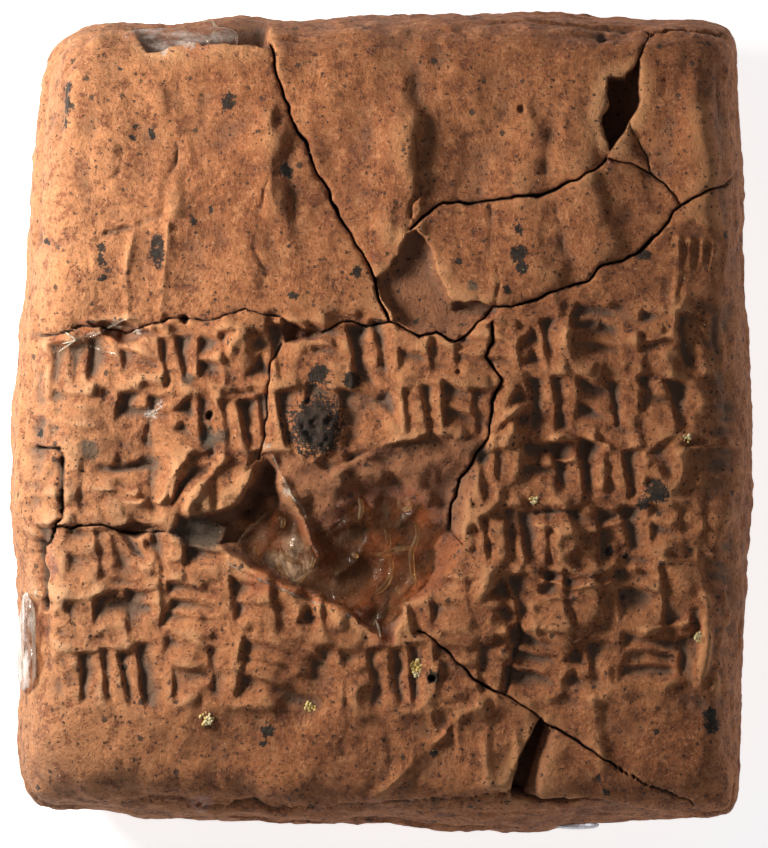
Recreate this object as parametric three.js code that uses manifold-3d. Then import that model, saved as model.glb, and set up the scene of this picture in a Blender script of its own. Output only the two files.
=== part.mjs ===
import * as THREE from 'three';
import { mergeVertices } from 'three/addons/utils/BufferGeometryUtils.js';
import Module from 'manifold-3d';

// A small, almost square clay tablet, mended from sherds with clear adhesive.
// It lies on its reverse: X runs across the written face, Y up the face and Z out of it.
// All sizes are millimetres. Places on a face are shares of half its width and half its length.

const wasm = await Module();
wasm.setup();

// Driving sizes of the whole tablet
const width = 47.4;
const length = 52.2;
const thickness = 24;
const equatorHeight = 12;
const frontDome = 1.2;
const backDome = 1.1;
const backDomeCut = 1.5;
const shoulderPower = 2.7;
const shoulderBlendPower = 6;
const wanderPower = 3;
const shoulderWidths = { left: 4.4, right: 3.0, top: 3.2, bottom: 4.0 };
const cornerPowers = { topLeft: 12, topRight: 25, bottomLeft: 20, bottomRight: 36 };

// How far each edge stands inside the full size, at even stations from one corner to the other
const edgeWander = {
  left: [-0.8, -0.5, -0.65, -0.35, 0, -0.1, -0.5, -1.1, -1.45, -1.85, -2],
  right: [-0.8, -0.7, -0.7, -0.15, -0.1, 0, -0.3, -0.5, -0.7, -1, -0.9],
  top: [-0.9, -0.55, -0.7, -0.05, -0.3, 0, 0, 0, -0.25, -0.5, -0.5],
  bottom: [-1.15, -1.35, -0.8, -0.5, -0.4, -0.35, 0, 0, -0.55, -0.75, -0.8],
};

// Inscription: rows of slanting stroke groups
const rowCount = 6;
const firstRow = 0.18;
const rowPitch = 0.158;
const rowSlope = 0.033;
const rowStart = -0.9;
const rowEnd = 0.93;
const rowHeight = 3.65;
const groupGap = 0.35;
const strokeDepth = 0.7;
const strokeWidth = 1.5;
const strokeHead = 0.25;
const strokeLean = 0.3;
const strokeJitter = 0.22;
const reverseRows = [0.74, 0.58, -0.62];
const reverseRowReach = 0.6;
const obverseSeed = 4157;
const reverseSeed = 907;

// Seal impression: robed figures and ruled boxes in low relief
const figureRise = 0.55;
const figureSink = 1;
const rulingWidth = 0.5;
const rulingRise = 0.2;

// Breaks and mends
const crackDepth = 1.8;
const cutLift = 0.6;
const hollowDepth = 2.6;
const shallowChipDepth = 1;
const holeDepth = 3.6;
const gapDepth = 2.4;
const rimChipDrop = 2.6;
const sideChipDrop = 7;
const glueGap = 0.3;
const glueTopDrop = 1.15;
const poolShare = 0.74;
const poolRoot = 1;

// Half sizes and places of the three smaller lumps of adhesive
const sheetSize = [3.6, 0.9, 0.8];
const sheetPlace = [-0.55, 0.95];
const beadSize = [1, 3, 2.4];
const beadPlace = [-0.98, -0.55];
const beadDrop = 5;
const runSize = [4.6, 0.7, 2.8];
const runPlace = [0.5, -0.982];
const runAboveEquator = 3;

// Mesh steps of the two faces and of the rounded edge between them
const stepsAcross = 12;
const stepsAlong = 14;
const shoulderSteps = 4;
const blobSegments = 10;
const blobRings = 6;

const halfWidth = width / 2;
const halfLength = length / 2;
const meanHalf = (halfWidth + halfLength) / 2;
const frontRise = thickness - equatorHeight - frontDome;
const backRise = equatorHeight - backDome;
const front = 1;
const back = -1;

// Strokes of each group: place across and up the row in row heights, turn in degrees, length
const groupKinds = [
  { span: 1.0, strokes: [[0.15, 1, 0, 1], [0.5, 0.95, 4, 0.95], [0.85, 1, 0, 1]] },
  { span: 1.15, strokes: [[0.98, 1, 0, 1], [0, 0.78, 84, 0.8], [0.05, 0.35, 90, 0.8]] },
  { span: 1.3, strokes: [[0.15, 1, 0, 1], [1.1, 1, 0, 0.95], [0.3, 0.75, 88, 0.7], [0.3, 0.35, 86, 0.7]] },
  { span: 0.9, strokes: [[0.1, 0.95, 28, 0.8], [0.75, 1, -4, 1]] },
  { span: 1.05, strokes: [[0, 0.9, 82, 0.95], [0.05, 0.58, 86, 0.9], [0, 0.25, 88, 0.95]] },
  { span: 0.75, strokes: [[0.55, 1, 0, 1], [0, 0.75, 50, 0.5], [0, 0.35, 50, 0.5]] },
  { span: 1.1, strokes: [[0, 0.55, 88, 1.05], [0.35, 1, 2, 0.6], [0.8, 0.98, -2, 1]] },
];
const plainKinds = [groupKinds[0], groupKinds[4], groupKinds[5]];

// Hem place, height in millimetres and lean in degrees of each robed figure
const figures = [
  [-0.625, 0.484, 9.6, 0],
  [-0.32, 0.4, 11, -2],
  [0.02, 0.43, 11.5, 3],
  [0.376, 0.33, 13, 0],
  [0.552, 0.39, 10, -5],
  [0.836, 0.47, 10.5, 2],
  [0.592, -0.87, 5.5, -3],
];

// A figure from hem to crown: share of its height, half width and rise as shares
const figureStations = [
  [0, 0.16, 0.15],
  [0.05, 0.19, 0.7],
  [0.58, 0.12, 0.95],
  [0.76, 0.15, 0.9],
  [0.82, 0.06, 0.5],
  [0.91, 0.08, 0.8],
  [1, 0.03, 0.15],
];

// A figure's rounded section: shares of its half width and of its rise
const figureSection = [[-1, 0], [-0.6, 0.8], [0, 1], [0.6, 0.8], [1, 0]];

const ruledBoxes = [
  { left: -0.79, right: -0.59, bottom: 0.25, top: 0.47, rulings: 1 },
  { left: 0.79, right: 0.93, bottom: 0.3, top: 0.45, rulings: 3 },
  { left: 0.15, right: 0.36, bottom: -0.86, top: -0.7, rulings: 2 },
];

// Places along each crack, with its width
const cracks = [
  {
    width: 0.34,
    path: [[-0.3, 0.92], [-0.25, 0.77], [-0.2, 0.67], [-0.14, 0.55], [-0.02, 0.36], [0.02, 0.25]],
  },
  { width: 0.22, path: [[-0.95, 0.21], [-0.78, 0.22], [-0.58, 0.25], [-0.43, 0.25], [-0.27, 0.26]] },
  { width: 0.26, path: [[-0.17, 0.22], [0.02, 0.24], [0.11, 0.21], [0.23, 0.21], [0.3, 0.27]] },
  { width: 0.3, path: [[0.08, 0.47], [0.15, 0.52], [0.27, 0.54], [0.45, 0.56], [0.62, 0.64]] },
  { width: 0.26, path: [[0.3, 0.27], [0.56, 0.34], [0.69, 0.41], [0.82, 0.53], [0.95, 0.58]] },
  { width: 0.18, path: [[0.63, 0.64], [0.74, 0.61], [0.82, 0.53]] },
  { width: 0.24, path: [[0.62, 0.95], [0.72, 0.94], [0.83, 0.95], [0.93, 0.94]] },
  { width: 0.3, path: [[0.3, 0.24], [0.28, 0.16], [0.32, 0.1], [0.29, -0.04], [0.21, -0.14], [0.18, -0.26]] },
  { width: 0.2, path: [[-0.93, -0.06], [-0.86, -0.07], [-0.87, -0.23], [-0.92, -0.3]] },
  { width: 0.26, path: [[-0.87, -0.26], [-0.73, -0.26], [-0.58, -0.27]] },
  { width: 0.28, path: [[0.1, -0.51], [0.28, -0.64], [0.43, -0.73], [0.57, -0.82], [0.78, -0.92]] },
];

// Outlines of the places where clay is lost, each seen whole from its own centre
const hollow = {
  centre: [-0.1, -0.29],
  outline: [
    [-0.58, -0.27], [-0.47, -0.21], [-0.39, -0.19], [-0.32, -0.08], [-0.24, -0.07], [-0.14, -0.12],
    [0.01, -0.06], [0.14, -0.02], [0.27, -0.04], [0.24, -0.2], [0.19, -0.36], [0.1, -0.45],
    [0.03, -0.53], [-0.04, -0.51], [-0.22, -0.42], [-0.43, -0.32],
  ],
  profile: [[1, 0], [0.88, 0.45], [0.62, 0.85], [0.3, 1]],
};
const shallowChip = {
  centre: [0.1, 0.28],
  outline: [
    [-0.02, 0.35], [0.05, 0.4], [0.09, 0.47], [0.15, 0.37], [0.2, 0.29], [0.3, 0.27],
    [0.25, 0.23], [0.2, 0.21], [0.11, 0.21], [0.02, 0.25],
  ],
  profile: [[1, 0], [0.8, 0.85], [0.4, 1]],
};
const cornerHole = {
  centre: [0.65, 0.77],
  outline: [[0.61, 0.86], [0.68, 0.86], [0.73, 0.91], [0.71, 0.79], [0.66, 0.68], [0.61, 0.68], [0.6, 0.74]],
  profile: [[1, 0], [0.85, 0.6], [0.5, 1]],
};
const fissure = {
  centre: [0.39, -0.82],
  outline: [[0.43, -0.73], [0.38, -0.77], [0.35, -0.91], [0.38, -0.91], [0.41, -0.83]],
  profile: [[1, 0], [0.6, 1]],
};
const smallChip = {
  centre: [-0.22, 0.22],
  outline: [[-0.27, 0.26], [-0.21, 0.235], [-0.15, 0.22], [-0.17, 0.2], [-0.26, 0.19]],
  profile: [[1, 0], [0.6, 1]],
};
const topRimChip = {
  centre: [-0.5, 1],
  outline: [
    [-0.72, 0.99], [-0.65, 0.92], [-0.5, 0.935], [-0.3, 0.92], [-0.29, 0.98], [-0.33, 1.05], [-0.68, 1.05],
  ],
};
const leftRimChip = {
  centre: [-1, -0.56],
  outline: [[-0.96, -0.42], [-0.955, -0.55], [-0.965, -0.68], [-1.04, -0.7], [-1.06, -0.42]],
};

// Repeatable draws from 0 to 1
const randomStep = 16807;
const randomCycle = 2147483647;

function makeRandom(seed) {
  let state = seed;
  return () => {
    state = (state * randomStep) % randomCycle;
    return state / randomCycle;
  };
}

function wander(stations, share) {
  const along = ((Math.min(Math.max(share, -1), 1) + 1) / 2) * (stations.length - 1);
  const index = Math.min(Math.floor(along), stations.length - 2);
  const t = along - index;
  const blend = t * t * (3 - 2 * t);
  return stations[index] * (1 - blend) + stations[index + 1] * blend;
}

// A place given in shares, in millimetres across and along
function planPoint(u, v) {
  const across = wander(u > 0 ? edgeWander.right : edgeWander.left, v);
  const along = wander(v > 0 ? edgeWander.top : edgeWander.bottom, u);
  return [
    u * halfWidth + Math.sign(u) * across * Math.abs(u) ** wanderPower,
    v * halfLength + Math.sign(v) * along * Math.abs(v) ** wanderPower,
  ];
}

// 0 at the centre of the face and 1 on the round-cornered outline
function outlineLevel(u, v) {
  const side = u > 0 ? 'Right' : 'Left';
  const power = cornerPowers[(v > 0 ? 'top' : 'bottom') + side];
  return (Math.abs(u) ** power + Math.abs(v) ** power) ** (1 / power);
}

// The rounded edge's width in the direction of a place
function shoulderWidth(u, v) {
  const acrossWidth = u > 0 ? shoulderWidths.right : shoulderWidths.left;
  const alongWidth = v > 0 ? shoulderWidths.top : shoulderWidths.bottom;
  const acrossWeight = u ** shoulderBlendPower;
  const alongWeight = v ** shoulderBlendPower;
  const total = acrossWeight + alongWeight;
  return total > 0 ? (acrossWidth * acrossWeight + alongWidth * alongWeight) / total : acrossWidth;
}

function domeShare(u, v, side) {
  const bulge = Math.max(1 - u * u, 0) * Math.max(1 - v * v, 0);
  return side === front ? bulge : Math.min(bulge * backDomeCut, 1);
}

function heightFrom(rise, u, v, side) {
  const edge = side === front ? frontRise : backRise;
  const dome = side === front ? frontDome : backDome;
  return equatorHeight + side * rise * (edge + dome * domeShare(u, v, side));
}

function surfaceHeight(u, v, side) {
  const inset = (1 - Math.min(outlineLevel(u, v), 1)) * meanHalf;
  const depth = Math.max(1 - inset / shoulderWidth(u, v), 0);
  return heightFrom((1 - depth ** shoulderPower) ** (1 / shoulderPower), u, v, side);
}

// A point some millimetres across and along from a place, raised outwards from the face
function place(u, v, across, along, raise, side) {
  const shareAcross = u + across / halfWidth;
  const shareAlong = v + along / halfLength;
  const [x, y] = planPoint(shareAcross, shareAlong);
  return [x, y, surfaceHeight(shareAcross, shareAlong, side) + side * raise];
}

// A closed geometry from loose triangles, turned to face outwards
function closedGeometry(triangles) {
  let volume = 0;
  for (const [a, b, c] of triangles) {
    volume += a[0] * (b[1] * c[2] - b[2] * c[1]) - a[1] * (b[0] * c[2] - b[2] * c[0])
      + a[2] * (b[0] * c[1] - b[1] * c[0]);
  }
  const ordered = volume > 0 ? triangles : triangles.map(([a, b, c]) => [a, c, b]);
  const geometry = new THREE.BufferGeometry();
  geometry.setAttribute('position', new THREE.Float32BufferAttribute(ordered.flat(2), 3));
  return mergeVertices(geometry);
}

function toSolid(geometry) {
  return new wasm.Manifold(new wasm.Mesh({
    numProp: 3,
    vertProperties: new Float32Array(geometry.attributes.position.array),
    triVerts: new Uint32Array(geometry.index.array),
  }));
}

function fromSolid(solid) {
  const mesh = solid.getMesh();
  const geometry = new THREE.BufferGeometry();
  geometry.setAttribute('position', new THREE.Float32BufferAttribute(mesh.vertProperties, 3));
  geometry.setIndex(new THREE.BufferAttribute(mesh.triVerts, 1));
  geometry.computeVertexNormals();
  return geometry;
}

function largestBody(solid) {
  return solid.decompose().reduce((best, body) => (body.volume() > best.volume() ? body : best));
}

function joinAll(solids) {
  return solids.reduce((whole, solid) => whole.add(solid));
}

// Rings of points joined into one closed body, its ends fanned about a centre
function loft(rings, startCentre, endCentre) {
  const triangles = [];
  const count = rings[0].length;
  for (let i = 0; i < count; i += 1) {
    const next = (i + 1) % count;
    triangles.push([startCentre, rings[0][next], rings[0][i]]);
    triangles.push([endCentre, rings.at(-1)[i], rings.at(-1)[next]]);
    for (let r = 0; r < rings.length - 1; r += 1) {
      triangles.push([rings[r][i], rings[r][next], rings[r + 1][next]]);
      triangles.push([rings[r][i], rings[r + 1][next], rings[r + 1][i]]);
    }
  }
  return toSolid(closedGeometry(triangles));
}

// A square grid place moved in to the round-cornered outline of its own ring
function roundedPlace(a, b) {
  const ring = Math.max(Math.abs(a), Math.abs(b));
  const factor = ring > 0 ? ring / outlineLevel(a, b) : 1;
  return [a * factor, b * factor];
}

// A vertex of the rounded edge: turn is 0 on the equator and a right angle on the face
function shoulderVertex(a, b, turn, side) {
  const [u, v] = roundedPlace(a, b);
  const inset = shoulderWidth(u, v) * (1 - Math.cos(turn) ** (2 / shoulderPower));
  const shrink = 1 - inset / meanHalf;
  const [x, y] = planPoint(u * shrink, v * shrink);
  const rise = Math.sin(turn) ** (2 / shoulderPower);
  return [x, y, heightFrom(rise, u * shrink, v * shrink, side)];
}

function faceVertex(a, b, side) {
  const [u, v] = roundedPlace(a, b);
  const shrink = 1 - shoulderWidth(u, v) / meanHalf;
  const [x, y] = planPoint(u * shrink, v * shrink);
  return [x, y, heightFrom(1, u * shrink, v * shrink, side)];
}

function acrossAt(i) {
  return -1 + (2 * i) / stepsAcross;
}

function alongAt(j) {
  return -1 + (2 * j) / stepsAlong;
}

// The grid places around the edge of the face, in order
function edgePlaces() {
  const places = [];
  for (let i = 0; i < stepsAcross; i += 1) {
    places.push([acrossAt(i), -1]);
  }
  for (let j = 0; j < stepsAlong; j += 1) {
    places.push([1, alongAt(j)]);
  }
  for (let i = stepsAcross; i > 0; i -= 1) {
    places.push([acrossAt(i), 1]);
  }
  for (let j = stepsAlong; j > 0; j -= 1) {
    places.push([-1, alongAt(j)]);
  }
  return places;
}

function tabletSide(side) {
  const triangles = [];
  const quad = (a, b, c, d) => {
    const ordered = side === front ? [[a, b, c], [a, c, d]] : [[a, c, b], [a, d, c]];
    triangles.push(...ordered);
  };
  for (let i = 0; i < stepsAcross; i += 1) {
    for (let j = 0; j < stepsAlong; j += 1) {
      quad(
        faceVertex(acrossAt(i), alongAt(j), side),
        faceVertex(acrossAt(i + 1), alongAt(j), side),
        faceVertex(acrossAt(i + 1), alongAt(j + 1), side),
        faceVertex(acrossAt(i), alongAt(j + 1), side),
      );
    }
  }
  const places = edgePlaces();
  const turnAt = (k) => (Math.PI / 2) * (k / shoulderSteps);
  const ringVertex = ([a, b], k) => (
    k === shoulderSteps ? faceVertex(a, b, side) : shoulderVertex(a, b, turnAt(k), side)
  );
  places.forEach((from, index) => {
    const to = places[(index + 1) % places.length];
    for (let k = 0; k < shoulderSteps; k += 1) {
      quad(ringVertex(from, k), ringVertex(to, k), ringVertex(to, k + 1), ringVertex(from, k + 1));
    }
  });
  return triangles;
}

// A wedge-shaped stroke: a broad deep head that thins to a tail
function strokeCutter(u, v, across, along, turnDegrees, strokeLength, side) {
  const turn = THREE.MathUtils.degToRad(turnDegrees);
  const run = [Math.sin(turn), -Math.cos(turn)];
  const aside = [Math.cos(turn), Math.sin(turn)];
  const at = (forward, sideways, raise) => place(
    u, v,
    across + run[0] * forward + aside[0] * sideways,
    along + run[1] * forward + aside[1] * sideways,
    raise, side,
  );
  const lean = strokeLean * strokeWidth * (Math.sin(turn) - Math.cos(turn));
  const deep = at(strokeLength * strokeHead, lean, -strokeDepth);
  const rim = [at(0, strokeWidth / 2, 0), at(0, -strokeWidth / 2, 0), at(strokeLength, 0, 0)];
  const stretch = 1 + cutLift / strokeDepth;
  const [p, q, r] = rim.map((point) => (
    point.map((value, axis) => deep[axis] + (value - deep[axis]) * stretch)
  ));
  return toSolid(closedGeometry([[p, q, r], [deep, q, p], [deep, r, q], [deep, p, r]]));
}

function insideOutline(u, v, outline) {
  let inside = false;
  outline.forEach(([u1, v1], index) => {
    const [u2, v2] = outline[(index + 1) % outline.length];
    if ((v1 > v) !== (v2 > v) && u < ((u2 - u1) * (v - v1)) / (v2 - v1) + u1) {
      inside = !inside;
    }
  });
  return inside;
}

const unwritten = [hollow, shallowChip, smallChip];

// Stroke groups set side by side along one row
function rowStrokes(rowAt, start, end, kinds, random, side) {
  const cutters = [];
  let cursor = start;
  let previous = -1;
  while (cursor < end) {
    let pick = Math.floor(random() * kinds.length);
    if (pick === previous) {
      pick = (pick + 1) % kinds.length;
    }
    previous = pick;
    const { span, strokes } = kinds[pick];
    const spanShare = (span * rowHeight) / halfWidth;
    if (cursor + spanShare > end) {
      break;
    }
    for (const [right, up, turn, size] of strokes) {
      const across = right * rowHeight + (random() - 0.5) * strokeJitter;
      const along = (up - 0.5) * rowHeight + (random() - 0.5) * strokeJitter;
      const strokeLength = size * rowHeight;
      const radians = THREE.MathUtils.degToRad(turn);
      const u = cursor + (across + (Math.sin(radians) * strokeLength) / 2) / halfWidth;
      const v = rowAt(cursor) + (along - (Math.cos(radians) * strokeLength) / 2) / halfLength;
      const bare = side === front && unwritten.some(({ outline }) => insideOutline(u, v, outline));
      if (!bare) {
        cutters.push(strokeCutter(cursor, rowAt(cursor), across, along, turn, strokeLength, side));
      }
    }
    cursor += spanShare + groupGap / halfWidth;
  }
  return cutters;
}

function obverseStrokes() {
  const random = makeRandom(obverseSeed);
  const cutters = [];
  for (let row = 0; row < rowCount; row += 1) {
    const rowAt = (u) => firstRow - rowPitch * row + rowSlope * u;
    cutters.push(...rowStrokes(rowAt, rowStart, rowEnd, groupKinds, random, front));
  }
  return cutters;
}

function reverseStrokes() {
  const random = makeRandom(reverseSeed);
  return reverseRows.flatMap((v) => (
    rowStrokes(() => v, -reverseRowReach, reverseRowReach, plainKinds, random, back)
  ));
}

// A three-sided bar along a path: a groove where it points down, a ridge where it points up
function threeSidedBar(path, barWidth, baseRaise, apexRaise) {
  const rings = path.map(([u, v], index) => {
    const [u1, v1] = path[Math.max(index - 1, 0)];
    const [u2, v2] = path[Math.min(index + 1, path.length - 1)];
    const run = new THREE.Vector2((u2 - u1) * halfWidth, (v2 - v1) * halfLength).normalize();
    const half = (barWidth / 2) * Math.abs((apexRaise - baseRaise) / apexRaise);
    return [
      place(u, v, -run.y * half, run.x * half, baseRaise, front),
      place(u, v, 0, 0, apexRaise, front),
      place(u, v, run.y * half, -run.x * half, baseRaise, front),
    ];
  });
  const middle = (ring) => ring[0].map((_, axis) => (ring[0][axis] + ring[1][axis] + ring[2][axis]) / 3);
  return loft(rings, middle(rings[0]), middle(rings.at(-1)));
}

function crackCutter({ path, width: crackWidth }) {
  return threeSidedBar(path, crackWidth, cutLift, -crackDepth);
}

function ruledBox({ left, right, bottom, top, rulings }) {
  const ridge = (path) => threeSidedBar(path, rulingWidth, -cutLift, rulingRise);
  const bars = [
    ridge([[left, top], [right, top]]),
    ridge([[left, bottom], [right, bottom]]),
  ];
  for (let i = 0; i <= rulings + 1; i += 1) {
    const u = left + ((right - left) * i) / (rulings + 1);
    bars.push(ridge([[u, bottom], [u, top]]));
  }
  return bars;
}

// A worn robed figure, standing, rounded across and sunk into the face
function robedFigure([u, v, height, leanDegrees]) {
  const lean = THREE.MathUtils.degToRad(leanDegrees);
  const rings = figureStations.map(([share, halfShare, riseShare]) => {
    const up = share * height;
    const half = halfShare * height;
    const rise = riseShare * figureRise;
    const at = (aside, raise) => place(
      u, v, up * Math.sin(lean) + aside, up * Math.cos(lean), raise, front,
    );
    return [
      at(-half, -figureSink),
      ...figureSection.map(([aside, raise]) => at(aside * half, raise * rise)),
      at(half, -figureSink),
    ];
  });
  const buried = (share) => place(
    u, v, share * height * Math.sin(lean), share * height * Math.cos(lean), -figureSink / 2, front,
  );
  return loft(rings, buried(0), buried(1));
}

// A pit whose rings close in on its centre as they go down
function pitCutter({ centre, outline, profile }, depth) {
  const [centreU, centreV] = centre;
  const ringAt = (scale, raise) => outline.map(([u, v]) => place(
    centreU + (u - centreU) * scale, centreV + (v - centreV) * scale, 0, 0, raise, front,
  ));
  const rings = [ringAt(1, cutLift), ...profile.map(([scale, share]) => ringAt(scale, -depth * share))];
  return loft(rings, place(...centre, 0, 0, cutLift, front), place(...centre, 0, 0, -depth, front));
}

// A flat-floored chip off the rim of the face
function rimChipCutter({ centre, outline }, floor) {
  const above = thickness + cutLift;
  const ringAt = (z) => outline.map(([u, v]) => [...planPoint(u, v), z]);
  const middleAt = (z) => [...planPoint(...centre), z];
  return loft([ringAt(above), ringAt(floor)], middleAt(above), middleAt(floor));
}

function roundedBlob(u, v, z, halfSizes) {
  const sphere = new THREE.SphereGeometry(1, blobSegments, blobRings);
  sphere.deleteAttribute('normal');
  sphere.deleteAttribute('uv');
  sphere.scale(...halfSizes);
  sphere.translate(...planPoint(u, v), z);
  return toSolid(mergeVertices(sphere));
}

function buildTablet() {
  const body = toSolid(closedGeometry([...tabletSide(front), ...tabletSide(back)]));
  const relief = joinAll([...figures.map(robedFigure), ...ruledBoxes.flatMap(ruledBox)]);
  const losses = joinAll([
    pitCutter(hollow, hollowDepth),
    pitCutter(shallowChip, shallowChipDepth),
    pitCutter(cornerHole, holeDepth),
    pitCutter(fissure, gapDepth),
    pitCutter(smallChip, shallowChipDepth),
    rimChipCutter(topRimChip, thickness - rimChipDrop),
    rimChipCutter(leftRimChip, thickness - sideChipDrop),
    ...cracks.map(crackCutter),
  ]);
  const writing = joinAll([...obverseStrokes(), ...reverseStrokes()]);
  return largestBody(body.add(relief).subtract(losses).subtract(writing));
}

// Adhesive fills a blob's room down to the clay, with a clearance left between them
function adhesive(blob, clay, away) {
  return largestBody(blob.subtract(clay.translate(away.map((part) => part * glueGap))));
}

function namedMesh(name, solid, material) {
  const mesh = new THREE.Mesh(fromSolid(solid), material);
  mesh.name = name;
  return mesh;
}

const clay = new THREE.MeshStandardMaterial({ color: 0xb0744c, roughness: 0.92, metalness: 0 });
const clearAdhesive = () => new THREE.MeshStandardMaterial({
  color: 0xd8b48c, roughness: 0.15, metalness: 0, transparent: true, opacity: 0.45,
});

const tabletSolid = buildTablet();

// The pool keeps the hollow's outline on a smaller scale
function poolBlob() {
  const [centreU, centreV] = hollow.centre;
  const ringAt = (raise) => hollow.outline.map(([u, v]) => place(
    centreU + (u - centreU) * poolShare, centreV + (v - centreV) * poolShare, 0, 0, raise, front,
  ));
  const middleAt = (raise) => place(centreU, centreV, 0, 0, raise, front);
  const bottom = -hollowDepth - poolRoot;
  return loft([ringAt(-glueTopDrop), ringAt(bottom)], middleAt(-glueTopDrop), middleAt(bottom));
}

const sheetOnRim = roundedBlob(...sheetPlace, thickness - rimChipDrop + glueGap, sheetSize);
const beadOnSide = roundedBlob(...beadPlace, thickness - beadDrop, beadSize);
const runUnderEdge = roundedBlob(...runPlace, equatorHeight + runAboveEquator, runSize);

const tablet = new THREE.Group();
tablet.name = 'cuneiform_tablet';
tablet.add(namedMesh('tablet', tabletSolid, clay));
tablet.add(namedMesh('glue_pool', adhesive(poolBlob(), tabletSolid, [0, 0, 1]), clearAdhesive()));
tablet.add(namedMesh('glue_top_chip', adhesive(sheetOnRim, tabletSolid, [0, 0, 1]), clearAdhesive()));
tablet.add(namedMesh('glue_left_edge', adhesive(beadOnSide, tabletSolid, [-1, 0, 1]), clearAdhesive()));
tablet.add(namedMesh('glue_bottom_edge', adhesive(runUnderEdge, tabletSolid, [0, -1, 0]), clearAdhesive()));

export default tablet;
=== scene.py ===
import math

import bpy
import numpy as np
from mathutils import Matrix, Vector


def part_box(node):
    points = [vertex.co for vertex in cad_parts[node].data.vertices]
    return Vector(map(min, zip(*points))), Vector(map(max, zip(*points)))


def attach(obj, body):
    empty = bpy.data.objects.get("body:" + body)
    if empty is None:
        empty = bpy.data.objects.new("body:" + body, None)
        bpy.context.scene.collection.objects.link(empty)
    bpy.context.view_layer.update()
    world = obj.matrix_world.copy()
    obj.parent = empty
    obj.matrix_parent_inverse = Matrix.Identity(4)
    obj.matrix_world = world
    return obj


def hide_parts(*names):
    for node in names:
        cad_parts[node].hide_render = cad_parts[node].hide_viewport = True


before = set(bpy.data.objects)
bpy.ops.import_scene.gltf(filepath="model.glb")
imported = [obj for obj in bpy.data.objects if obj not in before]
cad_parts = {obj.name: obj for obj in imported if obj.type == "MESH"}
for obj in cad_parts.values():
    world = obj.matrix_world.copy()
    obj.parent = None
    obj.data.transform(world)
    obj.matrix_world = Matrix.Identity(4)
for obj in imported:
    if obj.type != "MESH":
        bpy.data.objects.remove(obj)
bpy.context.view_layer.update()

# A small clay tablet, mended from sherds with clear adhesive, lying on its reverse.
# Lengths in this script are millimetres until a mesh is made. A place on a face is given in
# shares: u from -1 at the left edge to 1 at the right, v from -1 at the bottom to 1 at the top.

MM = 0.001
low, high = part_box("tablet")

# Form of the clay body
HALF_WIDTH = (high.x - low.x) / MM / 2
HALF_LENGTH = (high.y - low.y) / MM / 2
MEAN_HALF = (HALF_WIDTH + HALF_LENGTH) / 2
EQUATOR = 12.0
FRONT_DOME, BACK_DOME, BACK_DOME_CUT = 1.2, 1.1, 1.5
FRONT_RISE, BACK_RISE = 10.8, 10.9
SHOULDER_POWER = 2.7
SHOULDERS = {"left": 4.4, "right": 3.0, "top": 3.2, "bottom": 4.0}
CORNER_POWERS = {"top left": 12, "top right": 25, "bottom left": 20, "bottom right": 36}
EDGE_WANDER = {
    "left": [-0.8, -0.5, -0.65, -0.35, 0, -0.1, -0.5, -1.1, -1.45, -1.85, -2],
    "right": [-0.8, -0.7, -0.7, -0.15, -0.1, 0, -0.3, -0.5, -0.7, -1, -0.9],
    "top": [-0.9, -0.55, -0.7, -0.05, -0.3, 0, 0, 0, -0.25, -0.5, -0.5],
    "bottom": [-1.15, -1.35, -0.8, -0.5, -0.4, -0.35, 0, 0, -0.55, -0.75, -0.8],
}

# Mesh density: grid cells over the front, and the share of them that the face takes
GRID_ACROSS, GRID_ALONG = 640, 704
FACE_SHARE = 0.88
TRIANGLE_BUDGET = 194_000

# Relief maps of a face: one cell every 0.05 mm, over the box and a small margin
CELL = 0.05
COLUMNS, ROWS = 960, 1056
MAP_X = (np.arange(COLUMNS) - (COLUMNS - 1) / 2) * CELL
MAP_Y = (np.arange(ROWS) - (ROWS - 1) / 2) * CELL
X, Y = np.meshgrid(MAP_X, MAP_Y)
U, V = X / HALF_WIDTH, Y / HALF_LENGTH
FREQ_X = np.fft.rfftfreq(COLUMNS, CELL)[None, :]
FREQ_Y = np.fft.fftfreq(ROWS, CELL)[:, None]

FRONT, BACK = 1, -1


# Form of the body

def wander(stations, share):
    along = (np.clip(share, -1, 1) + 1) / 2 * (len(stations) - 1)
    index = np.minimum(along.astype(int), len(stations) - 2)
    t = along - index
    blend = t * t * (3 - 2 * t)
    values = np.array(stations, float)
    return values[index] * (1 - blend) + values[index + 1] * blend


def plan(u, v):
    across = np.where(u > 0, wander(EDGE_WANDER["right"], v), wander(EDGE_WANDER["left"], v))
    along = np.where(v > 0, wander(EDGE_WANDER["top"], u), wander(EDGE_WANDER["bottom"], u))
    x = u * HALF_WIDTH + np.sign(u) * across * np.abs(u) ** 3
    y = v * HALF_LENGTH + np.sign(v) * along * np.abs(v) ** 3
    return x, y


def corner_power(u, v):
    top = np.where(u > 0, CORNER_POWERS["top right"], CORNER_POWERS["top left"])
    bottom = np.where(u > 0, CORNER_POWERS["bottom right"], CORNER_POWERS["bottom left"])
    return np.where(v > 0, top, bottom).astype(float)


def outline_level(u, v):
    power = corner_power(u, v)
    return (np.abs(u) ** power + np.abs(v) ** power) ** (1 / power)


def shoulder_width(u, v):
    across = np.where(u > 0, SHOULDERS["right"], SHOULDERS["left"])
    along = np.where(v > 0, SHOULDERS["top"], SHOULDERS["bottom"])
    total = u ** 6 + v ** 6 + 1e-12
    return (across * u ** 6 + along * v ** 6) / total


def height_from(rise, u, v, side):
    bulge = np.clip(1 - u * u, 0, 1) * np.clip(1 - v * v, 0, 1)
    if side == FRONT:
        return EQUATOR + rise * (FRONT_RISE + FRONT_DOME * bulge)
    return EQUATOR - rise * (BACK_RISE + BACK_DOME * np.minimum(bulge * BACK_DOME_CUT, 1))


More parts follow.
